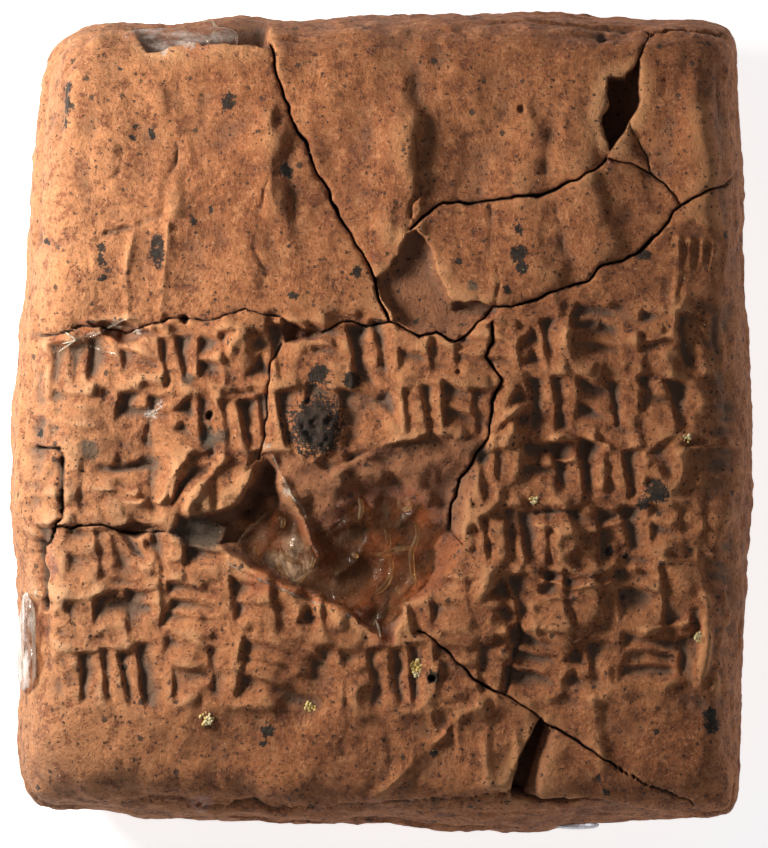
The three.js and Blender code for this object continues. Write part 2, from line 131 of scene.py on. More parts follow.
def body_grid(across, along, side):
    """Places and points of one side's grid, from its face down to the equator."""
    a, b = np.meshgrid(np.linspace(-1, 1, across + 1), np.linspace(-1, 1, along + 1))
    ring = np.maximum(np.abs(a), np.abs(b))
    safe = np.maximum(ring, 1e-9)
    level = np.maximum(outline_level(a / safe, b / safe), 1e-9)
    u_edge, v_edge = a / safe / level, b / safe / level
    inset_share = shoulder_width(u_edge, v_edge) / MEAN_HALF
    turn = np.pi / 2 * np.clip((1 - ring) / (1 - FACE_SHARE), 0, 1)
    on_face = np.minimum(ring / FACE_SHARE, 1) * (1 - inset_share)
    on_edge = 1 - inset_share * (1 - np.cos(turn) ** (2 / SHOULDER_POWER))
    shrink = np.where(ring <= FACE_SHARE, on_face, on_edge)
    rise = np.where(ring <= FACE_SHARE, 1, np.sin(turn) ** (2 / SHOULDER_POWER))
    u, v = u_edge * shrink, v_edge * shrink
    x, y = plan(u, v)
    return u, v, np.stack([x, y, height_from(rise, u, v, side)], -1)


def grid_normals(points, side):
    along, across = np.gradient(points, axis=(0, 1))
    normals = np.cross(across, along) * side
    return normals / np.maximum(np.linalg.norm(normals, axis=-1, keepdims=True), 1e-12)


# Maps: blurs, clouds, and drawing on a face

def blur(values, across, along=None):
    along = across if along is None else along
    keep = np.exp(-2 * np.pi ** 2 * ((FREQ_X * across) ** 2 + (FREQ_Y * along) ** 2))
    return np.fft.irfft2(np.fft.rfft2(values) * keep, s=values.shape)


def cloud(size, seed, tall=None):
    """Smooth random lumps of about the given size, drawn out along the face where asked; spread 1."""
    noise = np.random.default_rng(seed).standard_normal((ROWS, COLUMNS))
    noise = blur(noise, size / 2, (tall or size) / 2)
    return noise / noise.std()


def smooth_step(low_edge, high_edge, value):
    t = np.clip((value - low_edge) / (high_edge - low_edge), 0, 1)
    return t * t * (3 - 2 * t)


def window(x0, x1, y0, y1):
    """Slices of the map that cover a box."""
    c0, c1 = np.searchsorted(MAP_X, (x0, x1))
    r0, r1 = np.searchsorted(MAP_Y, (y0, y1))
    return slice(max(r0 - 1, 0), r1 + 1), slice(max(c0 - 1, 0), c1 + 1)


def window_round(corners, margin):
    xs, ys = np.array(corners).T
    return window(xs.min() - margin, xs.max() + margin, ys.min() - margin, ys.max() + margin)


def sample(values, u, v):
    """A map's values at places, straight between its cells."""
    column = np.clip((u * HALF_WIDTH - MAP_X[0]) / CELL, 0, COLUMNS - 1.001)
    row = np.clip((v * HALF_LENGTH - MAP_Y[0]) / CELL, 0, ROWS - 1.001)
    c, r = column.astype(int), row.astype(int)
    s, t = column - c, row - r
    lower = values[r, c] * (1 - s) + values[r, c + 1] * s
    upper = values[r + 1, c] * (1 - s) + values[r + 1, c + 1] * s
    return lower * (1 - t) + upper * t


def to_map(place):
    return place[0] * HALF_WIDTH, place[1] * HALF_LENGTH


# Broken edges and strokes are drawn on a slightly bent copy of the grid, so that none is ruled
JAG_X = X + 0.05 * cloud(0.5, 11) + 0.07 * cloud(1.6, 12)
JAG_Y = Y + 0.05 * cloud(0.5, 13) + 0.07 * cloud(1.6, 14)
WORN_X = X + 0.26 * cloud(3.4, 15) + 0.07 * cloud(1.0, 16)
WORN_Y = Y + 0.26 * cloud(3.4, 17) + 0.07 * cloud(1.0, 18)


def gauge(outline, centre):
    """0 at an outline's centre, 1 on the outline and more outside it."""
    cx, cy = to_map(centre)
    corners = [to_map(place) for place in outline]
    box = window_round(corners, 1.5)
    px, py = JAG_X[box] - cx, JAG_Y[box] - cy
    level = np.full(px.shape, 9.0)
    for (x1, y1), (x2, y2) in zip(corners, corners[1:] + corners[:1]):
        ax, ay, bx, by = x1 - cx, y1 - cy, x2 - cx, y2 - cy
        turn = np.sign(ax * by - ay * bx)
        between = ((ax * py - ay * px) * turn >= 0) & ((px * by - py * bx) * turn >= 0)
        ex, ey = bx - ax, by - ay
        share = (px * ey - py * ex) / (ax * ey - ay * ex)
        level = np.where(between & (share >= 0), np.minimum(level, share), level)
    whole = np.full(X.shape, 9.0)
    whole[box] = level
    return whole


PATH_REACH = 2.5


def path_distance(path, x=None, y=None):
    """Distance to a path, up to its reach, and which side of it a place is on."""
    x, y = (JAG_X if x is None else x), (JAG_Y if y is None else y)
    distance, side = np.full(X.shape, 9.0), np.zeros(X.shape)
    points = [to_map(place) for place in path]
    for (x1, y1), (x2, y2) in zip(points, points[1:]):
        box = window_round([(x1, y1), (x2, y2)], PATH_REACH)
        dx, dy = x[box] - x1, y[box] - y1
        ex, ey = x2 - x1, y2 - y1
        t = np.clip((dx * ex + dy * ey) / (ex * ex + ey * ey), 0, 1)
        off = np.hypot(dx - t * ex, dy - t * ey)
        nearer = off < distance[box]
        distance[box] = np.where(nearer, off, distance[box])
        side[box] = np.where(nearer, np.sign(ex * dy - ey * dx), side[box])
    return distance, side


def ridge(path, half_width, x=None, y=None):
    """1 along a path, falling off to its sides like a worn edge."""
    return np.exp(-(path_distance(path, x, y)[0] / half_width) ** 2)


# Inscription

ROW_COUNT, FIRST_ROW, ROW_PITCH, ROW_SLOPE = 6, 0.18, 0.158, 0.033
ROW_START, ROW_END, ROW_HEIGHT, GROUP_GAP = -0.9, 0.93, 3.65, 0.35
STROKE_DEPTH, STROKE_WIDTH, STROKE_LEAN, STROKE_JITTER = 0.7, 1.5, 0.3, 0.22
TAIL_WIDTH, TAIL_DEPTH, HEAD_RAMP, TAIL_RAMP = 0.45, 0.55, 0.3, 1.1
REVERSE_ROWS, REVERSE_REACH = [0.74, 0.58, -0.62], 0.6
OBVERSE_SEED, REVERSE_SEED, FINE_SEED = 4157, 907, 2311

# Each stroke of a group: place across and up the row in row heights, turn in degrees, length
GROUP_KINDS = [
    (1.0, [[0.15, 1, 0, 1], [0.5, 0.95, 4, 0.95], [0.85, 1, 0, 1]]),
    (1.15, [[0.98, 1, 0, 1], [0, 0.78, 84, 0.8], [0.05, 0.35, 90, 0.8]]),
    (1.3, [[0.15, 1, 0, 1], [1.1, 1, 0, 0.95], [0.3, 0.75, 88, 0.7], [0.3, 0.35, 86, 0.7]]),
    (0.9, [[0.1, 0.95, 28, 0.8], [0.75, 1, -4, 1]]),
    (1.05, [[0, 0.9, 82, 0.95], [0.05, 0.58, 86, 0.9], [0, 0.25, 88, 0.95]]),
    (0.75, [[0.55, 1, 0, 1], [0, 0.75, 50, 0.5], [0, 0.35, 50, 0.5]]),
    (1.1, [[0, 0.55, 88, 1.05], [0.35, 1, 2, 0.6], [0.8, 0.98, -2, 1]]),
]
PLAIN_KINDS = [GROUP_KINDS[0], GROUP_KINDS[4], GROUP_KINDS[5]]
# The small strokes pressed between the groups
FINE_KINDS = [
    (0.8, [[0, 0.98, 84, 0.75], [0, 0.7, 86, 0.75], [0, 0.42, 88, 0.75], [0, 0.14, 86, 0.7]]),
    (0.5, [[0.2, 1, 0, 0.95]]),
    (0.95, [[0.05, 0.85, 86, 0.7], [0.05, 0.5, 84, 0.75], [0.05, 0.2, 86, 0.75], [0.85, 1, 0, 1]]),
    (0.7, [[0.1, 0.8, 40, 0.6], [0.5, 1, -3, 0.9]]),
]


def make_random(seed):
    state = seed
    while True:
        state = (state * 16807) % 2147483647
        yield state / 2147483647


def row_strokes(row_at, start, end, kinds, draws, gap=GROUP_GAP):
    """Strokes along one row: place, turn and length."""
    strokes, cursor, previous = [], start, -1
    while cursor < end:
        pick = int(next(draws) * len(kinds))
        if pick == previous:
            pick = (pick + 1) % len(kinds)
        previous = pick
        span, group = kinds[pick]
        span_share = span * ROW_HEIGHT / HALF_WIDTH
        if cursor + span_share > end:
            break
        for right, up, turn, size in group:
            across = right * ROW_HEIGHT + (next(draws) - 0.5) * STROKE_JITTER
            along = (up - 0.5) * ROW_HEIGHT + (next(draws) - 0.5) * STROKE_JITTER
            x, y = to_map((cursor, row_at(cursor)))
            strokes.append((x + across, y + along, math.radians(turn), size * ROW_HEIGHT))
        cursor += span_share + gap / HALF_WIDTH
    return strokes


def press_stroke(wedges, rims, x, y, turn, size, wide=1.0, deep=1.0):
    """Presses one wedge into a face: one steep wall, one long slope, and clay pushed up round it."""
    reach = size + 1.5
    box = window(x - reach, x + reach, y - reach, y + reach)
    px, py = WORN_X[box] - x, WORN_Y[box] - y
    forward = px * math.sin(turn) - py * math.cos(turn)
    sideways = px * math.cos(turn) + py * math.sin(turn)
    along = np.clip(forward / size, 0, 1)
    half = STROKE_WIDTH * wide / 2 * (1 - (1 - TAIL_WIDTH) * along)
    deep_at = half * 2 * STROKE_LEAN * (math.sin(turn) - math.cos(turn))
    across = np.minimum((sideways + half) / (half + deep_at), (half - sideways) / (half - deep_at))
    ends = np.minimum(forward / HEAD_RAMP, (size - forward) / TAIL_RAMP)
    depth = STROKE_DEPTH * deep * (1 - (1 - TAIL_DEPTH) * along)
    wedges[box] = np.maximum(wedges[box], depth * np.clip(np.minimum(across, ends), 0, 1))
    outside = np.maximum(np.maximum(np.abs(sideways) - half, -forward), forward - size)
    rims[box] = np.maximum(rims[box], deep * np.exp(-(np.maximum(outside, 0) / 0.4) ** 2))


# Fine strokes between the rows and under their strokes: where they end, their width and depth
FINE_END = 1.06
FINE_WIDTH, FINE_WIDTH_SPREAD, FINE_DEPTH_SPREAD = 0.9, 0.8, 0.3
# The rows' own strokes: how hard each is pressed, and what that does to its size
PRESS, PRESS_SPREAD = 0.85, 0.4
PRESSED_SIZE, PRESSED_WIDTH, PRESSED_DEPTH = 1.12, 1.5, 1.1


def inscription():
    """Depth of all strokes of the written face, and the clay that they pushed up."""
    wedges, rims = np.zeros_like(X), np.zeros_like(X)
    draws, fine_draws = make_random(OBVERSE_SEED), make_random(FINE_SEED)
    for row in range(ROW_COUNT):
        def row_at(u):
            return FIRST_ROW - ROW_PITCH * row + ROW_SLOPE * u

        def between_rows(u):
            return row_at(u) + 0.5 * ROW_PITCH

        for start, gap, base, least_depth in [(-0.97, 0.0, between_rows, 0.3), (-0.95, 0.1, row_at, 0.45)]:
            for x, y, turn, size in row_strokes(base, start, FINE_END, FINE_KINDS, fine_draws, gap):
                wide = FINE_WIDTH + FINE_WIDTH_SPREAD * next(fine_draws)
                deep = least_depth + FINE_DEPTH_SPREAD * next(fine_draws)
                press_stroke(wedges, rims, x, y, turn, size, wide, deep)
        for x, y, turn, size in row_strokes(row_at, ROW_START, ROW_END, GROUP_KINDS, draws):
            press = PRESS + PRESS_SPREAD * next(fine_draws)
            press_stroke(wedges, rims, x, y, turn, size * PRESSED_SIZE, press * PRESSED_WIDTH, press * PRESSED_DEPTH)
    return wedges, rims


# Breaks and losses: each crack's width, depth, step from its left to its right side, and path

CRACKS = [
    (0.24, 2.2, 0.10, [[-0.3, 0.93], [-0.29, 0.88], [-0.25, 0.77], [-0.22, 0.7], [-0.2, 0.67], [-0.14, 0.55],
                       [-0.1, 0.48], [-0.02, 0.36], [0.0, 0.29], [0.02, 0.25]]),
    (0.14, 1.0, -0.10, [[-0.95, 0.21], [-0.87, 0.21], [-0.78, 0.23], [-0.69, 0.22], [-0.58, 0.25],
                        [-0.43, 0.25], [-0.36, 0.28], [-0.27, 0.26]]),
    (0.17, 1.4, 0.08, [[-0.16, 0.22], [-0.1, 0.24], [-0.04, 0.23], [0.02, 0.245], [0.11, 0.21], [0.15, 0.22],
                       [0.2, 0.2], [0.23, 0.21], [0.27, 0.24], [0.3, 0.28]]),
    (0.21, 1.8, -0.12, [[0.08, 0.47], [0.11, 0.5], [0.15, 0.52], [0.19, 0.53], [0.27, 0.54], [0.38, 0.55],
                        [0.45, 0.56], [0.53, 0.59], [0.62, 0.64]]),
    (0.20, 1.6, 0.08, [[0.3, 0.28], [0.35, 0.28], [0.45, 0.31], [0.56, 0.34], [0.59, 0.37], [0.69, 0.41],
                       [0.75, 0.46], [0.78, 0.5], [0.82, 0.53], [0.89, 0.56], [0.95, 0.58], [1.0, 0.62]]),
    (0.12, 0.8, 0.05, [[0.63, 0.64], [0.71, 0.62], [0.77, 0.59], [0.8, 0.56], [0.82, 0.53]]),
    (0.08, 0.5, 0.0, [[0.68, 0.75], [0.7, 0.7], [0.72, 0.65], [0.73, 0.61]]),
    (0.16, 1.2, 0.0, [[0.61, 0.99], [0.65, 0.97], [0.71, 0.97], [0.74, 0.95], [0.83, 0.96], [0.9, 0.96],
                      [0.96, 0.97]]),
    (0.14, 1.2, 0.05, [[0.73, 0.95], [0.72, 0.91], [0.7, 0.87]]),
    (0.19, 1.8, -0.15, [[0.3, 0.24], [0.3, 0.19], [0.28, 0.16], [0.3, 0.13], [0.32, 0.1], [0.3, 0.05],
                        [0.29, -0.04], [0.25, -0.08], [0.21, -0.14], [0.19, -0.22], [0.18, -0.26]]),
    (0.07, 0.4, 0.0, [[0.18, -0.26], [0.22, -0.3]]),
    (0.10, 0.8, 0.1, [[-0.27, 0.19], [-0.3, 0.15], [-0.3, 0.1], [-0.31, 0.02], [-0.32, -0.04],
                      [-0.33, -0.09]]),
    (0.24, 1.2, 0.12, [[-0.93, -0.061], [-0.868, -0.066], [-0.849, -0.09], [-0.852, -0.17], [-0.86, -0.24],
                       [-0.875, -0.26], [-0.89, -0.29], [-0.917, -0.302], [-0.922, -0.36], [-0.922, -0.41]]),
    (0.18, 1.0, 0.12, [[-0.87, -0.26], [-0.76, -0.25], [-0.73, -0.26], [-0.68, -0.27], [-0.58, -0.27]]),
    (0.2, 1.6, 0.12, [[0.1, -0.51], [0.19, -0.56], [0.25, -0.63], [0.28, -0.64], [0.34, -0.66], [0.38, -0.69],
                      [0.43, -0.73], [0.5, -0.775], [0.565, -0.81]]),
    (0.25, 1.2, 0.12, [[0.565, -0.81], [0.625, -0.847], [0.7, -0.885], [0.755, -0.91], [0.836, -0.936],
                       [0.86, -0.95]]),
    (0.16, 0.25, 0.1, [[-0.66, -0.95], [-0.45, -0.955], [-0.22, -0.95], [0, -0.94], [0.16, -0.92],
                       [0.34, -0.905]]),
    (0.25, 1.3, 0.25, [[0.34, -0.9], [0.392, -0.918], [0.484, -0.921], [0.565, -0.928], [0.646, -0.948],
                       [0.7, -0.955]]),
    (0.12, 0.8, -0.08, [[-0.97, 0.91], [-0.975, 0.8], [-0.965, 0.72]]),
]
STEP_REACH = 2.2

# Outlines of the losses, each seen whole from its own centre
HOLLOW_CENTRE = (-0.1, -0.29)
HOLLOW = [
    [-0.58, -0.27], [-0.52, -0.24], [-0.46, -0.22], [-0.39, -0.19], [-0.36, -0.14], [-0.32, -0.07],
    [-0.25, -0.07], [-0.15, -0.12], [-0.1, -0.1], [0.01, -0.06], [0.13, -0.02], [0.29, -0.04], [0.26, -0.12],
    [0.24, -0.2], [0.2, -0.34], [0.13, -0.41], [0.08, -0.45], [0.03, -0.54], [-0.02, -0.52], [-0.1, -0.46],
    [-0.22, -0.41], [-0.34, -0.36], [-0.43, -0.31], [-0.52, -0.3],
]
# Places on the hollow's broken floor, with their depth
HOLLOW_FLOOR = [
    (-0.22, -0.1, 0.15), (-0.11, -0.12, 0.1), (0.05, -0.08, 0.05), (0.13, -0.04, 0.0), (0.21, -0.05, 0.05),
    (-0.03, -0.11, 0.2), (0.25, -0.17, 0.5), (-0.2, -0.15, 0.35),
    (0.16, -0.22, 1.1), (0.18, -0.33, 0.9), (0.05, -0.19, 1.1), (-0.06, -0.2, 1.0), (-0.16, -0.22, 0.9),
    (0.05, -0.28, 1.9), (-0.08, -0.28, 1.9),
    (-0.24, -0.27, 1.7), (-0.22, -0.36, 2.1), (-0.08, -0.36, 2.6), (0.05, -0.38, 2.3), (0.11, -0.34, 1.6),
    (-0.02, -0.49, 1.4), (-0.14, -0.42, 1.8), (-0.33, -0.3, 2.0), (-0.41, -0.27, 1.5), (-0.48, -0.26, 1.2),
    (-0.36, -0.19, 2.4), (-0.31, -0.12, 1.8), (-0.28, -0.2, 1.2),
]
HOLLOW_FIN = [[-0.3, -0.06], [-0.28, -0.12], [-0.25, -0.18], [-0.21, -0.24], [-0.17, -0.33]]
HOLLOW_POCKET = [[-0.31, -0.12], [-0.33, -0.17], [-0.36, -0.22]]
GREEN_FACET_CENTRE = (-0.47, -0.27)
GREEN_FACET = [[-0.58, -0.27], [-0.48, -0.22], [-0.41, -0.26], [-0.43, -0.33], [-0.53, -0.3]]

# Where adhesive wets and darkens the hollow
WET_CENTRE = (-0.08, -0.3)
WET = [
    [-0.4, -0.3], [-0.37, -0.25], [-0.31, -0.21], [-0.27, -0.21], [-0.22, -0.23], [-0.18, -0.27],
    [-0.15, -0.26],
    [-0.13, -0.2], [-0.08, -0.14], [-0.04, -0.13], [0.01, -0.16], [0.1, -0.14], [0.14, -0.18], [0.2, -0.24],
    [0.25, -0.3], [0.235, -0.36], [0.17, -0.42], [0.08, -0.46], [0.01, -0.5], [-0.04, -0.52], [-0.07, -0.5],
    [-0.13, -0.47], [-0.21, -0.44], [-0.3, -0.41], [-0.37, -0.36],
]

CHIP_CENTRE = (0.1, 0.28)
CHIP = [
    [-0.02, 0.36], [0.02, 0.37], [0.05, 0.41], [0.07, 0.46], [0.09, 0.47], [0.13, 0.42], [0.15, 0.37],
    [0.18, 0.31], [0.2, 0.29], [0.3, 0.28], [0.3, 0.25], [0.25, 0.23], [0.2, 0.2], [0.15, 0.22], [0.11, 0.21],
    [0.04, 0.24], [0.01, 0.29],
]
CORNER_HOLE_CENTRE = (0.65, 0.77)
CORNER_HOLE = [
    [0.61, 0.85], [0.67, 0.85], [0.7, 0.88], [0.72, 0.9], [0.71, 0.82], [0.72, 0.79], [0.68, 0.73],
    [0.63, 0.66], [0.61, 0.7], [0.6, 0.73], [0.62, 0.78],
]
FISSURE_CENTRE = (0.39, -0.82)
FISSURE = [[0.43, -0.725], [0.385, -0.79], [0.36, -0.85], [0.345, -0.92], [0.42, -0.925], [0.455, -0.84],
           [0.48, -0.765]]
SMALL_CHIP_CENTRE = (-0.22, 0.22)
SMALL_CHIP = [[-0.27, 0.26], [-0.21, 0.235], [-0.15, 0.22], [-0.17, 0.2], [-0.26, 0.19]]
TOP_RIM_CENTRE = (-0.5, 1.0)
TOP_RIM = [
    [-0.72, 0.99], [-0.65, 0.92], [-0.56, 0.93], [-0.51, 0.94], [-0.49, 0.92], [-0.34, 0.92], [-0.3, 0.91],
    [-0.29, 0.98], [-0.33, 1.05], [-0.68, 1.05],
]
LEFT_RIM_CENTRE = (-1.0, -0.56)
LEFT_RIM = [
    [-0.93, -0.42], [-0.945, -0.47], [-0.95, -0.54], [-0.955, -0.64], [-0.97, -0.7], [-1.05, -0.7],
    [-1.05, -0.42],
]
SLOT_CENTRE, SLOT = (-0.66, -0.26), [[-0.73, -0.26], [-0.66, -0.24], [-0.59, -0.26], [-0.66, -0.285]]
GLUE_SLOT_CENTRE, GLUE_SLOT = (-0.7, 0.22), [[-0.8, 0.24], [-0.7, 0.25], [-0.6, 0.21], [-0.7, 0.19]]
# Round pores and pits: place, radius and depth
PITS = [(-0.46, 0.02, 0.3, 0.7), (0.37, 0.76, 0.3, 0.3), (-0.53, 0.25, 0.35, 0.6), (0.6, 0.95, 0.5, 0.35),
        (0.13, -0.62, 0.35, 0.6), (-0.91, 0.43, 0.2, 0.3), (0.21, 0.12, 0.25, 0.3)]

# Seal impression
FIGURE_RISE, RULING_RISE, RULING_WIDTH = 0.46, 0.17, 0.24
FIGURES = [
    (-0.625, 0.484, 9.6, 0), (-0.32, 0.4, 11, -2), (0.02, 0.43, 11.5, 3), (0.376, 0.33, 13, 0),
    (0.552, 0.39, 10, -5), (0.836, 0.47, 10.5, 2), (0.592, -0.87, 5.5, -3),
]
FIGURE_STATIONS = [
    (0, 0.19, 0.15), (0.05, 0.23, 0.7), (0.58, 0.15, 0.95), (0.76, 0.18, 0.9), (0.82, 0.08, 0.5),
    (0.91, 0.1, 0.8), (1, 0.04, 0.15),
]
# Worn lines beside the figures, then broad ridges among the strokes: path, half width and rise
WORN_LINES = [
    ([[-0.576, 0.693], [-0.592, 0.619], [-0.603, 0.545], [-0.609, 0.496], [-0.652, 0.481], [-0.765, 0.457]],
     0.2, -0.16),
    ([[-0.741, 0.683], [-0.76, 0.616], [-0.79, 0.587]], 0.2, -0.1),
    ([[-0.56, 0.76], [-0.53, 0.66], [-0.52, 0.58]], 0.4, 0.16),
    ([[0.092, 0.717], [0.105, 0.643], [0.103, 0.582], [0.078, 0.508]], 0.16, -0.22),
    ([[-0.3, 0.594], [-0.327, 0.52], [-0.333, 0.447], [-0.316, 0.386]], 0.2, -0.12),
    ([[0.316, 0.533], [0.311, 0.422], [0.319, 0.304]], 0.18, -0.12),
    ([[0.484, 0.533], [0.473, 0.422], [0.492, 0.324]], 0.18, -0.12),
    ([[0.0, -0.91], [0.16, -0.77], [0.3, -0.66]], 0.5, 0.25),
    ([[0.37, 0.02], [0.36, -0.08], [0.345, -0.17], [0.31, -0.29], [0.26, -0.42]], 0.85, 0.42),
    ([[-0.925, -0.29], [-0.93, -0.36], [-0.945, -0.43]], 0.35, -1.1),
    ([[-0.38, 0.2], [-0.42, 0.1], [-0.38, -0.01]], 0.8, 0.3),
    ([[0.871, -0.437], [0.863, -0.535], [0.855, -0.658]], 0.36, 0.4),
    ([[-0.79, -0.12], [-0.7, -0.115], [-0.6, -0.105]], 0.5, -0.4),
    ([[-0.78, -0.167], [-0.7, -0.17], [-0.63, -0.165]], 0.2, 0.34),
    ([[-0.79, -0.2], [-0.7, -0.205], [-0.61, -0.19]], 0.2, 0.3),
    ([[-0.8, -0.225], [-0.68, -0.225]], 0.2, 0.24),
    ([[-0.57, -0.19], [-0.5, -0.08]], 0.24, 0.4), ([[-0.54, -0.19], [-0.455, -0.08]], 0.26, -0.4),
    ([[-0.49, -0.2], [-0.45, -0.14], [-0.41, -0.08]], 0.28, 0.4),
    ([[0.922, -0.437], [0.922, -0.56], [0.912, -0.658]], 0.3, 0.3),
    ([[0.43, -0.262], [0.55, -0.262], [0.69, -0.255]], 0.24, 0.34),
    ([[0.44, -0.232], [0.66, -0.23]], 0.18, -0.25),
    ([[0.45, -0.396], [0.56, -0.398], [0.68, -0.385]], 0.24, 0.34),
    ([[0.45, -0.43], [0.55, -0.433]], 0.2, 0.28),
    ([[0.49, -0.047], [0.6, -0.043]], 0.22, 0.3), ([[0.49, -0.103], [0.6, -0.1]], 0.26, 0.34),
    ([[0.7, 0.2], [0.82, 0.203]], 0.22, 0.3), ([[0.51, 0.213], [0.6, 0.218]], 0.22, 0.3),
    ([[0.79, -0.074], [0.88, -0.064], [0.97, -0.066]], 0.18, 0.26),
    ([[0.71, -0.49], [0.82, -0.487]], 0.22, 0.28),
    ([[0.847, -0.462], [0.841, -0.658]], 0.2, -0.3),
    ([[0.37, -0.5], [0.36, -0.6], [0.34, -0.66]], 0.2, -0.35),
]
RULED_BOXES = [(-0.79, -0.59, 0.25, 0.47, 1), (0.79, 0.93, 0.3, 0.45, 3), (0.15, 0.36, -0.86, -0.7, 2)]

# Dark stains: place and radius
STAINS = [
    (-0.9, 0.825, 0.5), (-0.9, 0.785, 0.6), (-0.91, 0.74, 0.42), (-0.74, 0.88, 0.2), (-0.68, 0.73, 0.26),
    (-0.64, 0.72, 0.26), (-0.63, 0.7, 0.26), (-0.69, 0.7, 0.32), (-0.41, 0.785, 0.6), (-0.94, 0.44, 0.26),
    (-0.51, 0.485, 0.32), (-0.46, 0.51, 0.26), (-0.26, 0.61, 0.5), (-0.07, 0.37, 0.38), (-0.24, 0.31, 0.38),
    (0.37, 0.47, 0.38), (0.37, 0.41, 0.55), (0.38, 0.375, 0.5), (0.34, 0.32, 0.32), (0.21, 0.39, 0.32),
    (0.71, 0.41, 0.45), (-0.175, -0.01, 1.9), (-0.15, -0.04, 1.1), (0.135, -0.615, 0.55), (-0.17, 0.11, 0.77),
    (-0.08, 0.1, 0.64),
    (0.74, -0.17, 0.83), (0.7, -0.2, 0.45), (0.61, -0.32, 0.38), (0.65, -0.33, 0.26), (0.91, -0.75, 0.6),
    (0.905, -0.72, 0.5), (0.75, -0.77, 0.26), (0.58, -0.88, 0.26), (0.61, -0.91, 0.32), (0.71, -0.96, 0.32),
    (0.82, -0.98, 0.32), (0.14, -0.81, 0.32), (-0.31, -0.76, 0.51), (-0.32, -0.79, 0.32),
    (-0.775, 0.425, 0.4), (-0.77, 0.39, 0.4), (-0.765, 0.35, 0.3), (-0.61, 0.44, 0.42), (-0.61, 0.41, 0.5),
    (-0.605, 0.38, 0.3), (-0.93, -0.03, 0.32),
]
BLACK_LUMP, LUMP_RADIUS, LUMP_RISE = (-0.17, -0.015), 1.7, 0.35
# Grey-green smears of dirt, whitish dried adhesive, and wet-looking spots along the joins
SMEARS = [(-0.78, -0.07, 0.9), (-0.47, -0.04, 0.8), (-0.43, -0.03, 0.6), (-0.48, -0.28, 1.6),
          (0.25, 0.33, 0.5),
          (0.27, -0.08, 0.7), (-0.52, 0.1, 0.6)]
CHALKY = [(-0.62, 0.02, 0.4), (-0.59, 0.04, 0.3), (-0.53, 0.93, 0.5), (-0.6, 0.92, 0.4), (-0.72, 0.24, 0.35),
          (-0.66, 0.22, 0.3), (-0.31, -0.06, 0.35), (-0.25, -0.17, 0.3)]
GLUE_SPOTS = [(-0.2, 0.68, 0.5), (-0.03, 0.4, 0.5), (0.3, 0.25, 0.6), (0.35, 0.55, 0.4), (0.63, 0.63, 0.4),
              (-0.48, -0.96, 1.0), (-0.88, 0.19, 0.7), (-0.8, 0.22, 0.8), (-0.72, 0.22, 1.0),
              (-0.9, -0.34, 0.9),
              (-0.5, 0.94, 1.6), (-0.95, -0.5, 1.0), (-0.22, 0.22, 0.8), (0.0, -0.52, 1.0),
              (-0.32, -0.38, 1.2)]


def closeness(spots):
    """1 at the middle of a spot, 0 on its edge and less outside."""
    field = np.full(X.shape, -1.0)
    for u, v, radius in spots:
        x, y = to_map((u, v))
        reach = 2 * radius + 0.6
        box = window(x - reach, x + reach, y - reach, y + reach)
        field[box] = np.maximum(field[box], 1 - np.hypot(JAG_X[box] - x, JAG_Y[box] - y) / radius)
    return field


def seal_relief():
    """Worn robed figures and ruled boxes, raised from the face."""
    relief = np.zeros_like(X)
    shares, halves, rises = np.array(FIGURE_STATIONS).T
    for u, v, tall, lean_degrees in FIGURES:
        x, y = to_map((u, v))
        lean = math.radians(lean_degrees)
        up = (WORN_X - x) * math.sin(lean) + (WORN_Y - y) * math.cos(lean)
        aside = (WORN_X - x) * math.cos(lean) - (WORN_Y - y) * math.sin(lean)
        half = np.interp(up / tall, shares, halves) * tall
        rise = np.interp(up / tall, shares, rises) * FIGURE_RISE
        t = np.clip((aside / half + 1) / 2, 0, 1) ** 1.6
        inside = (up > 0) & (up < tall)
        relief = np.maximum(relief, np.where(inside, rise * np.sin(np.pi * t) ** 0.7, 0))
    relief = 1.25 * blur(relief, 0.13, 0.35) * np.clip(0.8 + 0.35 * cloud(2.2, 19), 0.2, 1.3)
    for left, right, bottom, top, rulings in RULED_BOXES:
        bars = [[[left, top], [right, top]], [[left, bottom], [right, bottom]]]
        for i in range(rulings + 2):
            u = left + (right - left) * i / (rulings + 1)
            bars.append([[u, bottom], [u, top]])
        worn = np.clip(0.7 + 0.4 * cloud(1.5, 20), 0, 1.2)
        for bar in bars:
            relief += RULING_RISE * worn * ridge(bar, RULING_WIDTH, WORN_X, WORN_Y)
    return relief


def hollow_floor():
    """Depth of the broken floor between its known places."""
    total, weight = np.zeros_like(X), np.zeros_like(X)
    for u, v, depth in HOLLOW_FLOOR:
        x, y = to_map((u, v))
        share = 1 / (((JAG_X - x) ** 2 + (JAG_Y - y) ** 2) + 0.3) ** 1.6
        total += share * depth
        weight += share
    return total / weight


def facets(size, seed):
    """Flat broken planes that meet in sharp edges, from 0 up."""
    planes = [cloud(size, seed + i) for i in range(3)]
    return np.maximum(np.maximum(planes[0], planes[1]), planes[2])


